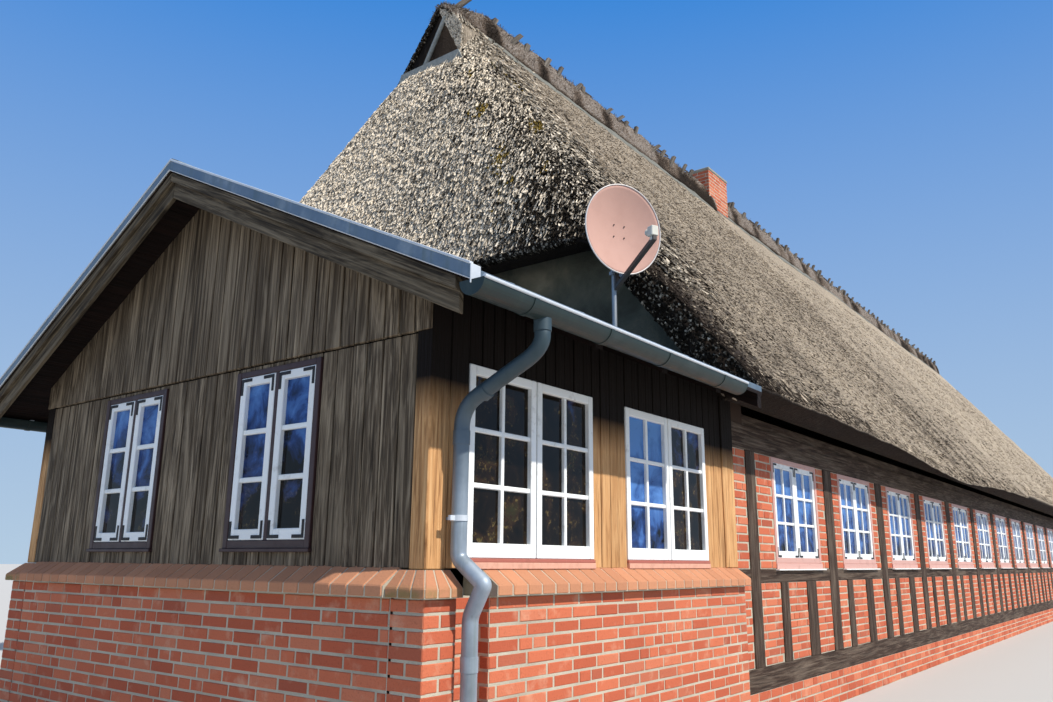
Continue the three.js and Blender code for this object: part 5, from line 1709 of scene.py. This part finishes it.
def boards(shape, place, spans, width, z0, z1, out=0.0, thick=0.028, top=None, gap=0.006):
    """Upright boards over each span (from, to), as near to one width as fits, cut to the roof's underside."""
    lows, highs = [], []
    for a0, a1 in spans:
        count = max(1, round((a1 - a0) / width))
        edges = np.linspace(a0, a1, count + 1)
        edges[1:-1] += shape.random.uniform(-0.008, 0.008, count - 1)
        face = out + shape.random.uniform(-0.003, 0.002, count)
        lows.append(coords(edges[:-1] + gap / 2, out - thick, z0))
        highs.append(coords(edges[1:] - gap / 2, face, z1))

    def cut(corners):
        upper = CORNERS[:, 2] == 1
        corners[:, upper, 2] = top(corners[:, upper, 0]) - 0.002

    shape.boxes(np.concatenate(lows), np.concatenate(highs), 2, None, place, top and cut)


SILL_BOARD = 0.02
BACKING_DEPTH = 0.026
SIDE_POST_X = 3.34
GABLE_SEAM_Z = 2.453
GABLE_GAP = 0.010


def back_boards(shape, place, solid, glazed, sill, head, top):
    """Backing behind whole boards, and below and above the windows, near black: painted shade where it shows
    between the boards.
    """
    for spans, feet, tops in ((solid, (BOARD_FOOT_Z,), (top,)), (glazed, (BOARD_FOOT_Z, head), (sill, top))):
        shape.boxes(
            [[a, -ANNEX_WALL, z] for a, b in spans for z in feet],
            [[b, -BACKING_DEPTH, z] for a, b in spans for z in tops], 2, None, place)


def build_boards():
    """Board cladding of the annex on a near-black backing of painted shade, with its corner posts."""
    side, gable, backing, posts = Shape(101), Shape(102), Shape(103), Shape(104)
    strips, fillet = Shape(105), Shape(106)
    sizes = bpy.context.scene.cottage_sizes
    width, sill, head = SIDE_WINDOW
    glazed = [(x, x + width) for x in SIDE_WINDOWS_X]
    x0, post_x, foot = ANNEX_WALL + SEAT, SIDE_POST_X, BOARD_FOOT_Z
    for place, y in ((ANNEX_FRONT, 0.0), (ANNEX_BACK, ANNEX_WIDTH)):
        top = annex_roof_under(y) - EDGE
        boards(side, place, between(glazed, x0, post_x), sizes.side_board, foot, top)
        boards(side, place, glazed, sizes.side_board, head, top)
        posts.boxes([post_x, -0.06, foot], [ANNEX_X1, 0.012, top], 2, 0.2, place)
        back_boards(backing, place, between(glazed, x0, ANNEX_X1), glazed, sill, head, top)
        for a, b in glazed:
            strips.boxes([a - 0.004, -0.05, sill - SILL_BOARD], [b + 0.004, 0.014, sill], 0, 0.0, place)
            fillet.boxes(
                [a - 0.002, -0.05, foot - 0.005], [b + 0.002, 0.019, sill - SILL_BOARD], 0, 0.0, place)
    width, sill, head = GABLE_WINDOW
    glazed = [(y, y + width) for y in GABLE_WINDOWS_Y]
    y0, y1 = POST + SEAT, ANNEX_WIDTH - POST - SEAT
    solid = between(glazed, y0, y1)
    for spans, low, high in (
        (solid, foot, GABLE_SEAM_Z - 0.02), (glazed, foot, sill), (glazed, head, GABLE_SEAM_Z - 0.02),
    ):
        boards(gable, ANNEX_GABLE, spans, sizes.gable_board, low, high, gap=GABLE_GAP)
    boards(
        gable, ANNEX_GABLE, [(0.002, ANNEX_RIDGE_Y), (ANNEX_RIDGE_Y, ANNEX_WIDTH - 0.002)], sizes.gable_board,
        GABLE_SEAM_Z - 0.012, 3.0, 0.016, 0.03, annex_roof_under, GABLE_GAP)
    back_boards(backing, ANNEX_GABLE, solid, glazed, sill, head, GABLE_SEAM_Z)
    ends = np.array([y0, ANNEX_RIDGE_Y, y1])
    rim = coords(ends, annex_roof_under(ends) - EDGE)
    backing.loft(extruded([[y1, GABLE_SEAM_Z], [y0, GABLE_SEAM_Z], *rim], 0.016, ANNEX_WALL))
    for y, corner_y in ((0.0, 0.0), (ANNEX_WIDTH - POST, ANNEX_WIDTH)):
        top = annex_roof_under(corner_y) - EDGE
        posts.boxes([-0.002, y, CAP_TOP_Z - EDGE], [ANNEX_WALL, y + POST, top], 2, 0.3)
    strips.build("annex_sill_boards", "red paint", "window_paint", bevel=0.003)
    fillet.build("annex_sill_fillets", "rosy mortar", "brick", bevel=0.003)
    walls = ("annex_wall_front", "annex_wall_back")
    side.build("annex_side_boards", "brown boards", "boards", *walls, bevel=0.003)
    gable.build("annex_gable_boards", "silvered boards", "boards", "annex_wall_gable", bevel=0.003)
    backing.build("annex_board_backing", "backing in painted shade", "boards")
    posts.build(
        "annex_corner_posts", "brown boards", "timber", "annex_post_front", "annex_post_back", bevel=0.005)


# How much painted sky reflection the panes show, from 0 to 1
SIDE_SKY = [0.0, 0.1, 1.0, 0.25]
GABLE_SKY = 0.6
HOUSE_SKY = 0.95


def side_window(sashes, frames, panes, a):
    """Double casement of six panes each in a brown frame that shows between and around them."""
    width, z0, z1 = SIDE_WINDOW
    b, middle, edge = a + width, a + width / 2, SIDE_FRAME
    frames += [
        (a, a + edge, -0.12, -0.012, z0, z1, 2), (b - edge, b, -0.12, -0.012, z0, z1, 2),
        (a, b, -0.12, -0.013, z0, z0 + 0.04, 0), (a, b, -0.12, -0.013, z1 - edge, z1, 0),
        (middle - edge, middle + edge, -0.12, -0.05, z0, z1, 2),
    ]
    for left, right in ((a + EDGE, middle - 0.0055), (middle + 0.0055, b - EDGE)):
        sashes += sash(left, right, z0 + EDGE, z1 - EDGE, SIDE_SASH, 2, 3, 0.026, ANNEX_FACE)
        panes.append((left + 0.03, right - 0.03, -0.026, -0.021, z0 + 0.06, z1 - 0.03, 2))


def gable_window(sashes, frames, panes, irons, a):
    """Double casement of three panes each, with irons, a middle post and a small sill."""
    width, z0, z1 = GABLE_WINDOW
    b, middle, edge = a + width, a + width / 2, GABLE_FRAME
    low, high = z0 + GABLE_FRAME_FOOT, z1 - GABLE_FRAME_HEAD
    frames += [
        (a, a + edge, -0.1, 0.012, z0, z1, 2), (b - edge, b, -0.1, 0.012, z0, z1, 2),
        (a + edge, b - edge, -0.1, 0.010, z0, low, 0), (a - 0.012, b + 0.012, -0.1, 0.024, z0 - 0.02, z0, 0),
        (a + edge, b - edge, -0.1, 0.010, high, z1, 0),
        (middle - 0.016, middle + 0.016, -0.1, 0.006, low, high, 2),
    ]
    low, high = low + 0.002, high - 0.002
    for left, right in ((a + edge + 0.002, middle - 0.018), (middle + 0.018, b - edge - 0.002)):
        sashes += sash(left, right, low, high, GABLE_SASH, 1, 3, 0.03, ANNEX_FACE)
        irons += corner_irons(left, right, low, high, 0.1, 0.019, ANNEX_FACE)
        panes.append((left + 0.03, right - 0.03, -0.026, -0.021, low + 0.03, high - 0.03, 2))


def build_annex_windows():
    """Casements of the annex: two on each side, and two with irons in the gable."""
    white, dark, glass, metal = Shape(111), Shape(112), Shape(113), Shape(114)
    sashes, frames, panes, irons = [], [], [], []
    for a in SIDE_WINDOWS_X:
        side_window(sashes, frames, panes, a)
    for place in (ANNEX_FRONT, ANNEX_BACK):
        add_parts(white, sashes, place)
        add_parts(dark, frames, place)
        add_parts(glass, panes, place, SIDE_SKY)
    sashes, frames, panes = [], [], []
    for a in GABLE_WINDOWS_Y:
        gable_window(sashes, frames, panes, irons, a)
    gable = ((white, sashes, None), (dark, frames, None), (glass, panes, GABLE_SKY), (metal, irons, None))
    for shape, parts, sky in gable:
        add_parts(shape, parts, ANNEX_GABLE, sky)
    nodes = [f"annex_{side}_window_{n}" for side in ("front", "back", "gable") for n in (1, 2)]
    white.build("annex_sashes", "white paint", "window_paint", *nodes, bevel=0.004)
    dark.build("annex_window_frames", "brown paint", "window_paint", bevel=0.003)
    glass.build("annex_panes", "window glass", "glass", *[f"{node}_glass" for node in nodes])
    metal.build("annex_window_irons", "black iron", "steel")


DECK_BOARD = 0.13
SHEET = (-0.046, -0.004)
SEAM_EVERY = 0.6
RAFTERS_X = np.array([0.72, 1.45, 2.2, 2.9])


def on_roof(corners):
    """Lifts boxes whose z is a height over the annex roof's top onto that roof."""
    corners[..., 2] += annex_roof_under(corners[..., 1]) + ANNEX_ROOF


def roof_strip(shape, x, y, height, grain=0, tint=None):
    """Boxes laid on the annex roof, from their ends along X and Y and their heights over it."""
    low, high = (coords(x[n], y[n], height[n]) for n in (0, 1))
    shape.boxes(low, high, grain, tint, None, on_roof)


def build_annex_roof():
    """Zinc sheets with flat seams on boards, a folded verge, and stepped boards below it."""
    sheet, deck, barge, trim = Shape(121), Shape(122), Shape(123), Shape(124)
    verge, ridge_y = ANNEX_VERGE_X, ANNEX_RIDGE_Y
    notch_x, notch_y = VERGE_X - 0.03, 0.42
    slopes = (
        (ANNEX_EAVE_Y, ridge_y, verge + 0.01, notch_x), (notch_y, ridge_y, notch_x, ANNEX_X1),
        (ridge_y, ANNEX_BACK_EAVE_Y, verge + 0.01, ANNEX_X1),
    )
    for y0, y1, x0, x1 in slopes:
        edges = np.linspace(y0, y1, round((y1 - y0) / DECK_BOARD) + 1)
        roof_strip(deck, (x0, x1), (edges[:-1] + 0.0015, edges[1:] - 0.0015), (-ANNEX_ROOF, SHEET[0]))
        roof_strip(sheet, (x0, x1), (y0, y1), SHEET, 0, 0.5)
        seams = np.arange(verge + 0.35, x1, SEAM_EVERY)
        seams = seams[seams > x0]
        if len(seams):
            roof_strip(sheet, (seams - 0.016, seams + 0.016), (y0 + 0.03, y1 - 0.03), (-0.006, 0.0), 1, 0.5)
    for y in ((ridge_y - 0.09, ridge_y), (ridge_y, ridge_y + 0.09)):
        roof_strip(sheet, (verge, ANNEX_X1), y, (SHEET[1], 0.028), 0, 0.6)
    folds = (
        (sheet, -0.004, 0.012, -0.058, 0.012), (trim, -0.010, 0.016, 0.006, 0.020),
        (trim, -0.009, 0.002, -0.063, -0.057),
    )
    for y in ((ANNEX_EAVE_Y - 0.012, ridge_y), (ridge_y, ANNEX_BACK_EAVE_Y + 0.012)):
        for shape, a, b, *heights in folds:
            roof_strip(shape, (verge + a, verge + b), y, heights, 1, 0.4)
    drip_y = (ANNEX_EAVE_Y - 0.018, ANNEX_EAVE_Y - 0.010)
    roof_strip(trim, (verge - 0.008, verge + 0.06), drip_y, (-0.08, 0.012), 1, 0.4)
    steps = (
        (0.004, 0.010, -0.064, -0.05, None), (0.012, 0.070, -BARGE_UPPER, -ANNEX_ROOF - SEAT, 0.2),
        (0.042, 0.070, -BARGE_LOWER, EDGE - BARGE_UPPER, 0.3),
    )
    for y in ((-0.45, ridge_y), (ridge_y, ANNEX_BACK_EAVE_Y - 0.09)):
        for a, b, low, high, tint in steps:
            roof_strip(barge, (verge + a, verge + b), y, (low, high), 1, tint)
    for y in ((ANNEX_EAVE_Y + 0.03, 0.1), (ANNEX_WIDTH - 0.1, ANNEX_BACK_EAVE_Y - 0.03)):
        roof_strip(deck, (RAFTERS_X, RAFTERS_X + 0.07), y, (-0.17, -0.0705), 1)
    # The roof boards and rafters seen from below carry that painted shade
    deck.build("annex_roof_boards", "soffit boards", "boards")
    sheet.build("annex_roof_zinc", "zinc", "zinc", "annex_roof_front", "annex_roof_back", bevel=0.003)
    trim.build("annex_roof_edge", "bright edge", "zinc", bevel=0.003)
    nodes = ("bargeboard_front", "bargeboard_back")
    barge.build("annex_bargeboards", "verge boards", "timber", *nodes, bevel=0.004)


ARC_STEPS = 16
FRONT_BANDS = (0.03, 0.70, 1.35, 2.10)
BACK_BANDS = (0.03, 0.8, 1.6, 2.4, 3.2)
UPPER_PIPE = (0.15, -0.075)
LOWER_PIPE = (0.19, -0.125)
PIPE_BENDS = (0.11, 0.11, 0.03, 0.014, 0.03)


def half_ring(radius, inner):
    """Closed outline of a half-round trough in (y, z): outer arc below, inner arc back."""
    angle = np.linspace(np.pi, 2 * np.pi, ARC_STEPS)
    arc = coords(np.cos(angle), np.sin(angle))
    return np.concatenate([arc * radius, (arc * inner)[::-1]])


def gutter(shape, bright, x0, x1, y, z, way, bands):
    """Half-round trough with a rolled front edge, closed ends, joint sleeves and the clips that hold it; the
    rolled edge is pale metal, a painted glint.
    """
    def arc(outer, inner, a, b, tint=0.5):
        """Half ring drawn out from a to b."""
        shape.loft(extruded(half_ring(outer, inner) + [y, z], a, b), tint)

    radius = GUTTER_RADIUS
    arc(radius, radius - 0.004, x0 + 0.001, x1 - 0.001)
    disc = half_ring(radius + 0.001, radius)[:ARC_STEPS] + [y, z]
    shape.loft(extruded(disc, x0 - 0.003, x0 + 0.003), 0.2)
    shape.loft(extruded(disc, x1 - 0.003, x1), 0.2)
    front = y - way * radius
    # The rolled front edge in pale metal: a painted glint
    bright.tube([[x0 - 0.003, front, z + 0.003], [x1, front, z + 0.003]], 0.009, 10)
    for x in bands:
        arc(radius + 0.004, radius - 0.001, x - 0.016, x + 0.016, 0.1)
        reach = radius * 1.02
        bright.boxes([x - 0.013, y - reach, z + 0.002], [x + 0.013, y + reach, z + 0.006])


def smooth_path(points, corners, steps=8):
    """Straight runs joined by quadratic bends that start and end a corner's length from each point."""
    points = np.asarray(points, float)
    path = [points[0]]
    share = np.linspace(0, 1, steps)[:, None]
    for before, at, after, corner in zip(points[:-2], points[1:-1], points[2:], corners):
        ways = [far - at for far in (before, after)]
        start, end = (at + way * min(0.45, corner / np.linalg.norm(way)) for way in ways)
        path.extend((1 - share) ** 2 * start + 2 * share * (1 - share) * at + share ** 2 * end)
    return np.array([*path, points[-1]])


def build_gutters():
    """Both gutters of the annex and the downpipe with its swan neck, sockets and clamps."""
    trough, clips = Shape(131), Shape(132)
    y, z = ANNEX_EAVE_Y - GUTTER_OUT, annex_roof_under(ANNEX_EAVE_Y) - SEAT
    back_y, back_z = ANNEX_BACK_EAVE_Y + GUTTER_OUT, annex_roof_under(ANNEX_BACK_EAVE_Y) - SEAT
    gutter(trough, clips, ANNEX_VERGE_X, GUTTER_END_X, y, z, 1, FRONT_BANDS)
    gutter(trough, clips, ANNEX_VERGE_X, ANNEX_X1, back_y, back_z, -1, BACK_BANDS)
    trough.build("gutters", "gutter zinc", "zinc", "gutter_front", "gutter_back")
    clips.build("gutter_clips", "bright edge", "zinc")

    pipe, clamp = Shape(133), Shape(134)
    neck = z - GUTTER_RADIUS
    corners = [
        [0.17, y, neck + 0.01], [0.17, y, 2.29], [*UPPER_PIPE, 2.05], [*UPPER_PIPE, 1.31],
        [0.168, -0.225, 1.19], [*LOWER_PIPE, 1.04], [*LOWER_PIPE, 0.0],
    ]
    pipe.tube(smooth_path(corners, PIPE_BENDS, 12), PIPE_RADIUS, 24)
    sockets = (
        ((0.17, y, neck + 0.012), (0.17, y, neck - 0.05), 0.044),
        ((*UPPER_PIPE, 1.93), (*UPPER_PIPE, 1.86), 0.0435),
        ((*LOWER_PIPE, 0.86), (*LOWER_PIPE, 0.79), 0.0435),
        ((0.157, -0.20, 2.105), (0.1565, -0.235, 2.123), 0.0432),
    )
    ends = np.array([0.0, 0.01, 0.5, 0.99, 1.0])[:, None]
    for start, end, wide in sockets:
        pipe.tube(np.array(start) + np.subtract(end, start) * ends, wide, 24)
    pipe.build("downpipe", "pipe zinc", "zinc", "downpipe_front", smooth=True)
    for height, (x, y), wall_y in ((1.5, UPPER_PIPE, 0.03), (0.45, LOWER_PIPE, -0.055)):
        clamp.tube([[x, y, height - 0.014], [x, y, height + 0.014]], PIPE_RADIUS + 0.0045, 24)
        clamp.boxes([x - 0.075, y - 0.01, height - 0.012], [x - 0.04, y + 0.004, height + 0.012])
        clamp.boxes([x - 0.007, y + 0.03, height - 0.007], [x + 0.007, wall_y, height + 0.007])
    clamp.build("downpipe_clamps", "bright edge", "zinc")


DISH_CENTRE = (2.620, 0.426, 3.936)
DISH_TURN = math.radians(63)
DISH_TILT = math.radians(-2.6)
DISH_WIDE, DISH_HIGH, DISH_DEEP, DISH_THICK = 0.71, 0.76, 0.08, 0.006
MAST_BEHIND = 0.165
MAST_RADIUS = 0.021
DISH_SIDES = 72
RIM_RADIUS = 0.006
aim = np.array([
    -math.cos(DISH_TURN) * math.cos(DISH_TILT), -math.sin(DISH_TURN) * math.cos(DISH_TILT),
    math.sin(DISH_TILT),
])
aside = np.cross(aim, [0, 0, 1])
aside /= np.linalg.norm(aside)
DISH_PLACE = (np.array([aside, aim, np.cross(aside, aim)]), np.array(DISH_CENTRE))


def on_dish(points):
    """Turns points in the dish's own axes into the house's."""
    return np.asarray(points, float) @ DISH_PLACE[0] + DISH_PLACE[1]


def dish_bowl():
    """Oval bowl, as deep as the square of the share of its radius, with a round pale rim."""
    bowl, rim = Shape(141), Shape(142)
    angle = np.linspace(0, 2 * np.pi, DISH_SIDES, endpoint=False)
    oval = coords(np.cos(angle) * DISH_WIDE / 2, np.sin(angle) * DISH_HIGH / 2)
    shares = np.linspace(0.02, 1, 14)
    rings = []
    for share, back in [(s, DISH_THICK) for s in shares] + [(s, 0) for s in np.linspace(1, 0.02, 14)]:
        depth = DISH_DEEP * (share ** 2 - 1) - back
        rings.append(coords(oval[:, 0] * share, depth, oval[:, 1] * share))
    bowl.loft(rings, place=DISH_PLACE)
    bowl.build("dish_bowl", "dish shell", "dish_shell", "dish", smooth=True)
    around = np.linspace(0, 2 * np.pi, 8, endpoint=False)
    out = oval / np.linalg.norm(oval, axis=1, keepdims=True)
    sections = [
        coords(
            p[0] + o[0] * RIM_RADIUS * np.cos(around), RIM_RADIUS * np.sin(around) - 0.003,
            p[1] + o[1] * RIM_RADIUS * np.cos(around),
        ) for p, o in zip(oval, out)
    ]
    rim.loft(sections, ring=True, place=DISH_PLACE)
    rim.build("dish_rim", "dish rim", "dish_shell", smooth=True)


def dish_arm():
    """Square arm below the bowl with its bracket, band screws and bolts, and the feed at its end."""
    arm, feed = Shape(143), Shape(144)
    back, low = -0.114, -DISH_HIGH / 2 - 0.112
    side = [
        [back, 0], [back, low], [0.45, -0.225], [0.45, -0.185], [back + 0.02, low + 0.046], [back + 0.02, 0],
    ]
    arm.loft(extruded(side, -0.018, 0.018), place=DISH_PLACE)
    arm.boxes([-0.045, -0.19, -0.06], [0.045, -0.092, 0.06], 2, None, DISH_PLACE)
    for foot in (-0.045, 0.03):
        arm.boxes([-0.06, -0.205, foot], [0.06, -0.19, foot + 0.015], 2, None, DISH_PLACE)
    for turn in np.linspace(0, 2 * np.pi, 4, endpoint=False) + np.pi / 4:
        x, z = 0.07 * math.cos(turn), 0.07 * math.sin(turn)
        arm.tube(on_dish([[x, -0.090, z], [x, -0.066, z]]), 0.006, 8)
    arm.build("dish_arm_tube", "dark steel", "steel", "dish_arm", bevel=0.003)

    feed.boxes([-0.032, 0.385, -0.19], [0.032, 0.452, -0.11], 2, None, DISH_PLACE)
    feed.boxes([-0.02, 0.40, -0.225], [0.02, 0.44, -0.19], 2, None, DISH_PLACE)
    horn = [[0, 0.395, -0.150], [0, 0.36, -0.143], [0, 0.345, -0.140]]
    feed.tube(on_dish(horn), np.array([0.022, 0.024, 0.031]), 20)
    feed.build("dish_feed", "pale plastic", "steel", bevel=0.006)


def build_dish():
    """Oval dish with a pale rim, on a square arm that carries the feed, clamped to a mast on the roof."""
    dish_bowl()
    dish_arm()
    mast = Shape(145)
    x, y, z = np.array(DISH_CENTRE) - aim * MAST_BEHIND
    roof_z, top = annex_roof_under(y) + ANNEX_ROOF, z + 0.075
    mast.tube([[x, y, roof_z - 0.03], [x, y, top]], MAST_RADIUS, 20)
    mast.tube([[x, y, top], [x, y, top + 0.006]], MAST_RADIUS + 0.002, 20)
    mast.boxes([x - 0.07, y - 0.07, 0.0], [x + 0.07, y + 0.07, 0.012], 0, None, None, on_roof)
    mast.boxes([x - 0.085, y - 0.035, 3.58], [x + 0.085, y - 0.02, 3.62])
    mast.boxes([x - 0.03, y - 0.03, 3.585], [x + 0.03, y + 0.03, 3.615])
    mast.build("dish_mast_tube", "galvanised steel", "steel", "dish_mast", bevel=0.002)


def dress_kept_nodes():
    """Finishes for the parts whose own shape stays."""
    for names, finish in (
        (("main_floor", "annex_floor"), "brick floor"), (("near_end_wall",), "stucco"),
        (("near_corner_front", "near_corner_back"), "old timber"),
    ):
        for name in names:
            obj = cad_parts[name]
            obj.data.materials.clear()
            obj.data.materials.append(FINISHES[finish])


def build_stage():
    """Pale floor, soft sky light with one broad key light, and the camera."""
    scene = bpy.context.scene
    mesh = bpy.data.meshes.new("floor")
    half = 160.0
    corners = [(-half, -half, 0), (half, -half, 0), (half, half, 0), (-half, half, 0)]
    mesh.from_pydata(corners, [], [(0, 1, 2, 3)])
    floor = bpy.data.objects.new("floor", mesh)
    scene.collection.objects.link(floor)
    ground = Finish("pale floor", 0.9, Specular_IOR_Level=0.1)
    ground.colour(paint(190, 188, 184))
    mesh.materials.append(ground.material)

    world = bpy.data.worlds.new("studio")
    scene.world = world
    world.use_nodes = True
    tree = world.node_tree
    place = tree.nodes.new("ShaderNodeTexCoord")
    split = tree.nodes.new("ShaderNodeSeparateXYZ")
    ramp = tree.nodes.new("ShaderNodeValToRGB")
    tree.links.new(place.outputs["Generated"], split.inputs[0])
    tree.links.new(split.outputs["Z"], ramp.inputs[0])
    tree.links.new(ramp.outputs[0], tree.nodes["Background"].inputs[0])
    ramp.color_ramp.elements[0].color = (*paint(196, 222, 246), 1)
    ramp.color_ramp.elements[1].color = (*paint(66, 148, 236), 1)
    ramp.color_ramp.elements[1].position = 0.6
    overhead = ramp.color_ramp.elements.new(0.8)
    overhead.color = (*paint(204, 208, 212), 1)
    tree.nodes["Background"].inputs[1].default_value = 0.82

    lamp = bpy.data.lights.new("key", "SUN")
    lamp.energy = 4.8
    lamp.angle = math.radians(0.9)
    lamp.color = (1.0, 0.95, 0.87)
    key = bpy.data.objects.new("key", lamp)
    key.rotation_mode = "QUATERNION"
    key.rotation_quaternion = Vector((0.05, -0.70, 0.70)).to_track_quat("Z", "Y")
    scene.collection.objects.link(key)

    yaw, pitch, roll = (math.radians(a) for a in (CAMERA_YAW, CAMERA_PITCH, CAMERA_ROLL))
    ahead = Vector((math.cos(pitch) * math.cos(yaw), math.cos(pitch) * math.sin(yaw), math.sin(pitch)))
    level = Vector((math.sin(yaw), -math.cos(yaw), 0))
    upward = level.cross(ahead)
    right = level * math.cos(roll) + upward * math.sin(roll)
    upper = upward * math.cos(roll) - level * math.sin(roll)
    lens = bpy.data.cameras.new("camera")
    lens.lens = CAMERA_LENS
    lens.sensor_width = 36
    lens.clip_end = 400
    camera = bpy.data.objects.new("camera", lens)
    spot = Vector(CAMERA_PLACE) + Vector(SHIFT)
    camera.matrix_world = Matrix((
        (right.x, upper.x, -ahead.x, spot.x), (right.y, upper.y, -ahead.y, spot.y),
        (right.z, upper.z, -ahead.z, spot.z), (0, 0, 0, 1),
    ))
    scene.collection.objects.link(camera)
    scene.camera = camera
    scene.view_settings.view_transform = "Standard"


class COTTAGE_OT_stage(bpy.types.Operator):
    """Set up the floor, the light and the camera"""

    bl_idname = "cottage.stage"
    bl_label = "Stage"

    def execute(self, context):
        build_stage()
        return {"FINISHED"}


class COTTAGE_OT_finishes(bpy.types.Operator):
    """Make every finish and put them on the parts whose own shape stays"""

    bl_idname = "cottage.finishes"
    bl_label = "Finishes"

    def execute(self, context):
        make_finishes()
        dress_kept_nodes()
        return {"FINISHED"}


class COTTAGE_OT_thatch(bpy.types.Operator):
    """Lay the coat of thatch"""

    bl_idname = "cottage.thatch"
    bl_label = "Thatch"

    def execute(self, context):
        build_thatch()
        return {"FINISHED"}


class COTTAGE_OT_reeds(bpy.types.Operator):
    """Let loose reed ends stand out of the thatch"""

    bl_idname = "cottage.reeds"
    bl_label = "Reed ends"

    def execute(self, context):
        build_reeds()
        return {"FINISHED"}


class COTTAGE_OT_ridge(bpy.types.Operator):
    """Pin the heather roll along the ridge"""

    bl_idname = "cottage.ridge"
    bl_label = "Heather ridge"

    def execute(self, context):
        build_ridge()
        return {"FINISHED"}


class COTTAGE_OT_owl_hole(bpy.types.Operator):
    """Board the owl hole at the head of the half hip"""

    bl_idname = "cottage.owl_hole"
    bl_label = "Owl hole"

    def execute(self, context):
        build_owl_hole()
        return {"FINISHED"}


class COTTAGE_OT_chimney(bpy.types.Operator):
    """Lay the bricks of the chimney"""

    bl_idname = "cottage.chimney"
    bl_label = "Chimney"

    def execute(self, context):
        build_chimney()
        return {"FINISHED"}


class COTTAGE_OT_walls(bpy.types.Operator):
    """Frame the house walls and fill them with brick"""

    bl_idname = "cottage.walls"
    bl_label = "House walls"

    def execute(self, context):
        build_walls()
        return {"FINISHED"}


class COTTAGE_OT_house_windows(bpy.types.Operator):
    """Fit the windows of the house"""

    bl_idname = "cottage.house_windows"
    bl_label = "House windows"

    def execute(self, context):
        build_house_windows()
        return {"FINISHED"}


class COTTAGE_OT_plinth(bpy.types.Operator):
    """Lay the plinth, piers and sills of the annex"""

    bl_idname = "cottage.plinth"
    bl_label = "Annex plinth"

    def execute(self, context):
        build_plinth()
        return {"FINISHED"}


class COTTAGE_OT_boards(bpy.types.Operator):
    """Nail the boards on the annex"""

    bl_idname = "cottage.boards"
    bl_label = "Annex boards"

    def execute(self, context):
        build_boards()
        return {"FINISHED"}


class COTTAGE_OT_annex_windows(bpy.types.Operator):
    """Fit the windows of the annex"""

    bl_idname = "cottage.annex_windows"
    bl_label = "Annex windows"

    def execute(self, context):
        build_annex_windows()
        return {"FINISHED"}


class COTTAGE_OT_annex_roof(bpy.types.Operator):
    """Lay the zinc roof of the annex and its verge"""

    bl_idname = "cottage.annex_roof"
    bl_label = "Annex roof"

    def execute(self, context):
        build_annex_roof()
        return {"FINISHED"}


class COTTAGE_OT_gutters(bpy.types.Operator):
    """Hang the gutters and the downpipe"""

    bl_idname = "cottage.gutters"
    bl_label = "Gutters"

    def execute(self, context):
        build_gutters()
        return {"FINISHED"}


class COTTAGE_OT_dish(bpy.types.Operator):
    """Mount the satellite dish"""

    bl_idname = "cottage.dish"
    bl_label = "Satellite dish"

    def execute(self, context):
        build_dish()
        return {"FINISHED"}


STEPS = (
    COTTAGE_OT_stage, COTTAGE_OT_finishes, COTTAGE_OT_thatch, COTTAGE_OT_reeds, COTTAGE_OT_ridge,
    COTTAGE_OT_owl_hole, COTTAGE_OT_chimney, COTTAGE_OT_walls, COTTAGE_OT_house_windows, COTTAGE_OT_plinth,
    COTTAGE_OT_boards, COTTAGE_OT_annex_windows, COTTAGE_OT_annex_roof, COTTAGE_OT_gutters, COTTAGE_OT_dish,
)


class COTTAGE_PT_panel(bpy.types.Panel):
    """Sizes, colours and building steps of the cottage"""

    bl_idname = "COTTAGE_PT_panel"
    bl_label = "Thatched cottage"
    bl_space_type = "VIEW_3D"
    bl_region_type = "UI"
    bl_category = "Cottage"

    def draw(self, context):
        layout = self.layout
        for group in (context.scene.cottage_sizes, context.scene.cottage_colours):
            for name in group.bl_rna.properties.keys():
                if name not in ("rna_type", "name"):
                    layout.prop(group, name)
        for step in STEPS:
            layout.operator(step.bl_idname)


CLASSES = (CottageSizes, CottageColours, *STEPS, COTTAGE_PT_panel)


def register():
    for cls in CLASSES:
        bpy.utils.register_class(cls)
    bpy.types.Scene.cottage_sizes = PointerProperty(type=CottageSizes)
    bpy.types.Scene.cottage_colours = PointerProperty(type=CottageColours)


def unregister():
    del bpy.types.Scene.cottage_colours
    del bpy.types.Scene.cottage_sizes
    for cls in reversed(CLASSES):
        bpy.utils.unregister_class(cls)


def main():
    """Clears the default scene's own objects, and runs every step."""
    register()
    for name in ("Cube", "Light", "Camera"):
        if name in bpy.data.objects:
            bpy.data.objects.remove(bpy.data.objects[name])
    for step in STEPS:
        getattr(bpy.ops.cottage, step.bl_idname.split(".")[1])()


if __name__ == "__main__":
    main()
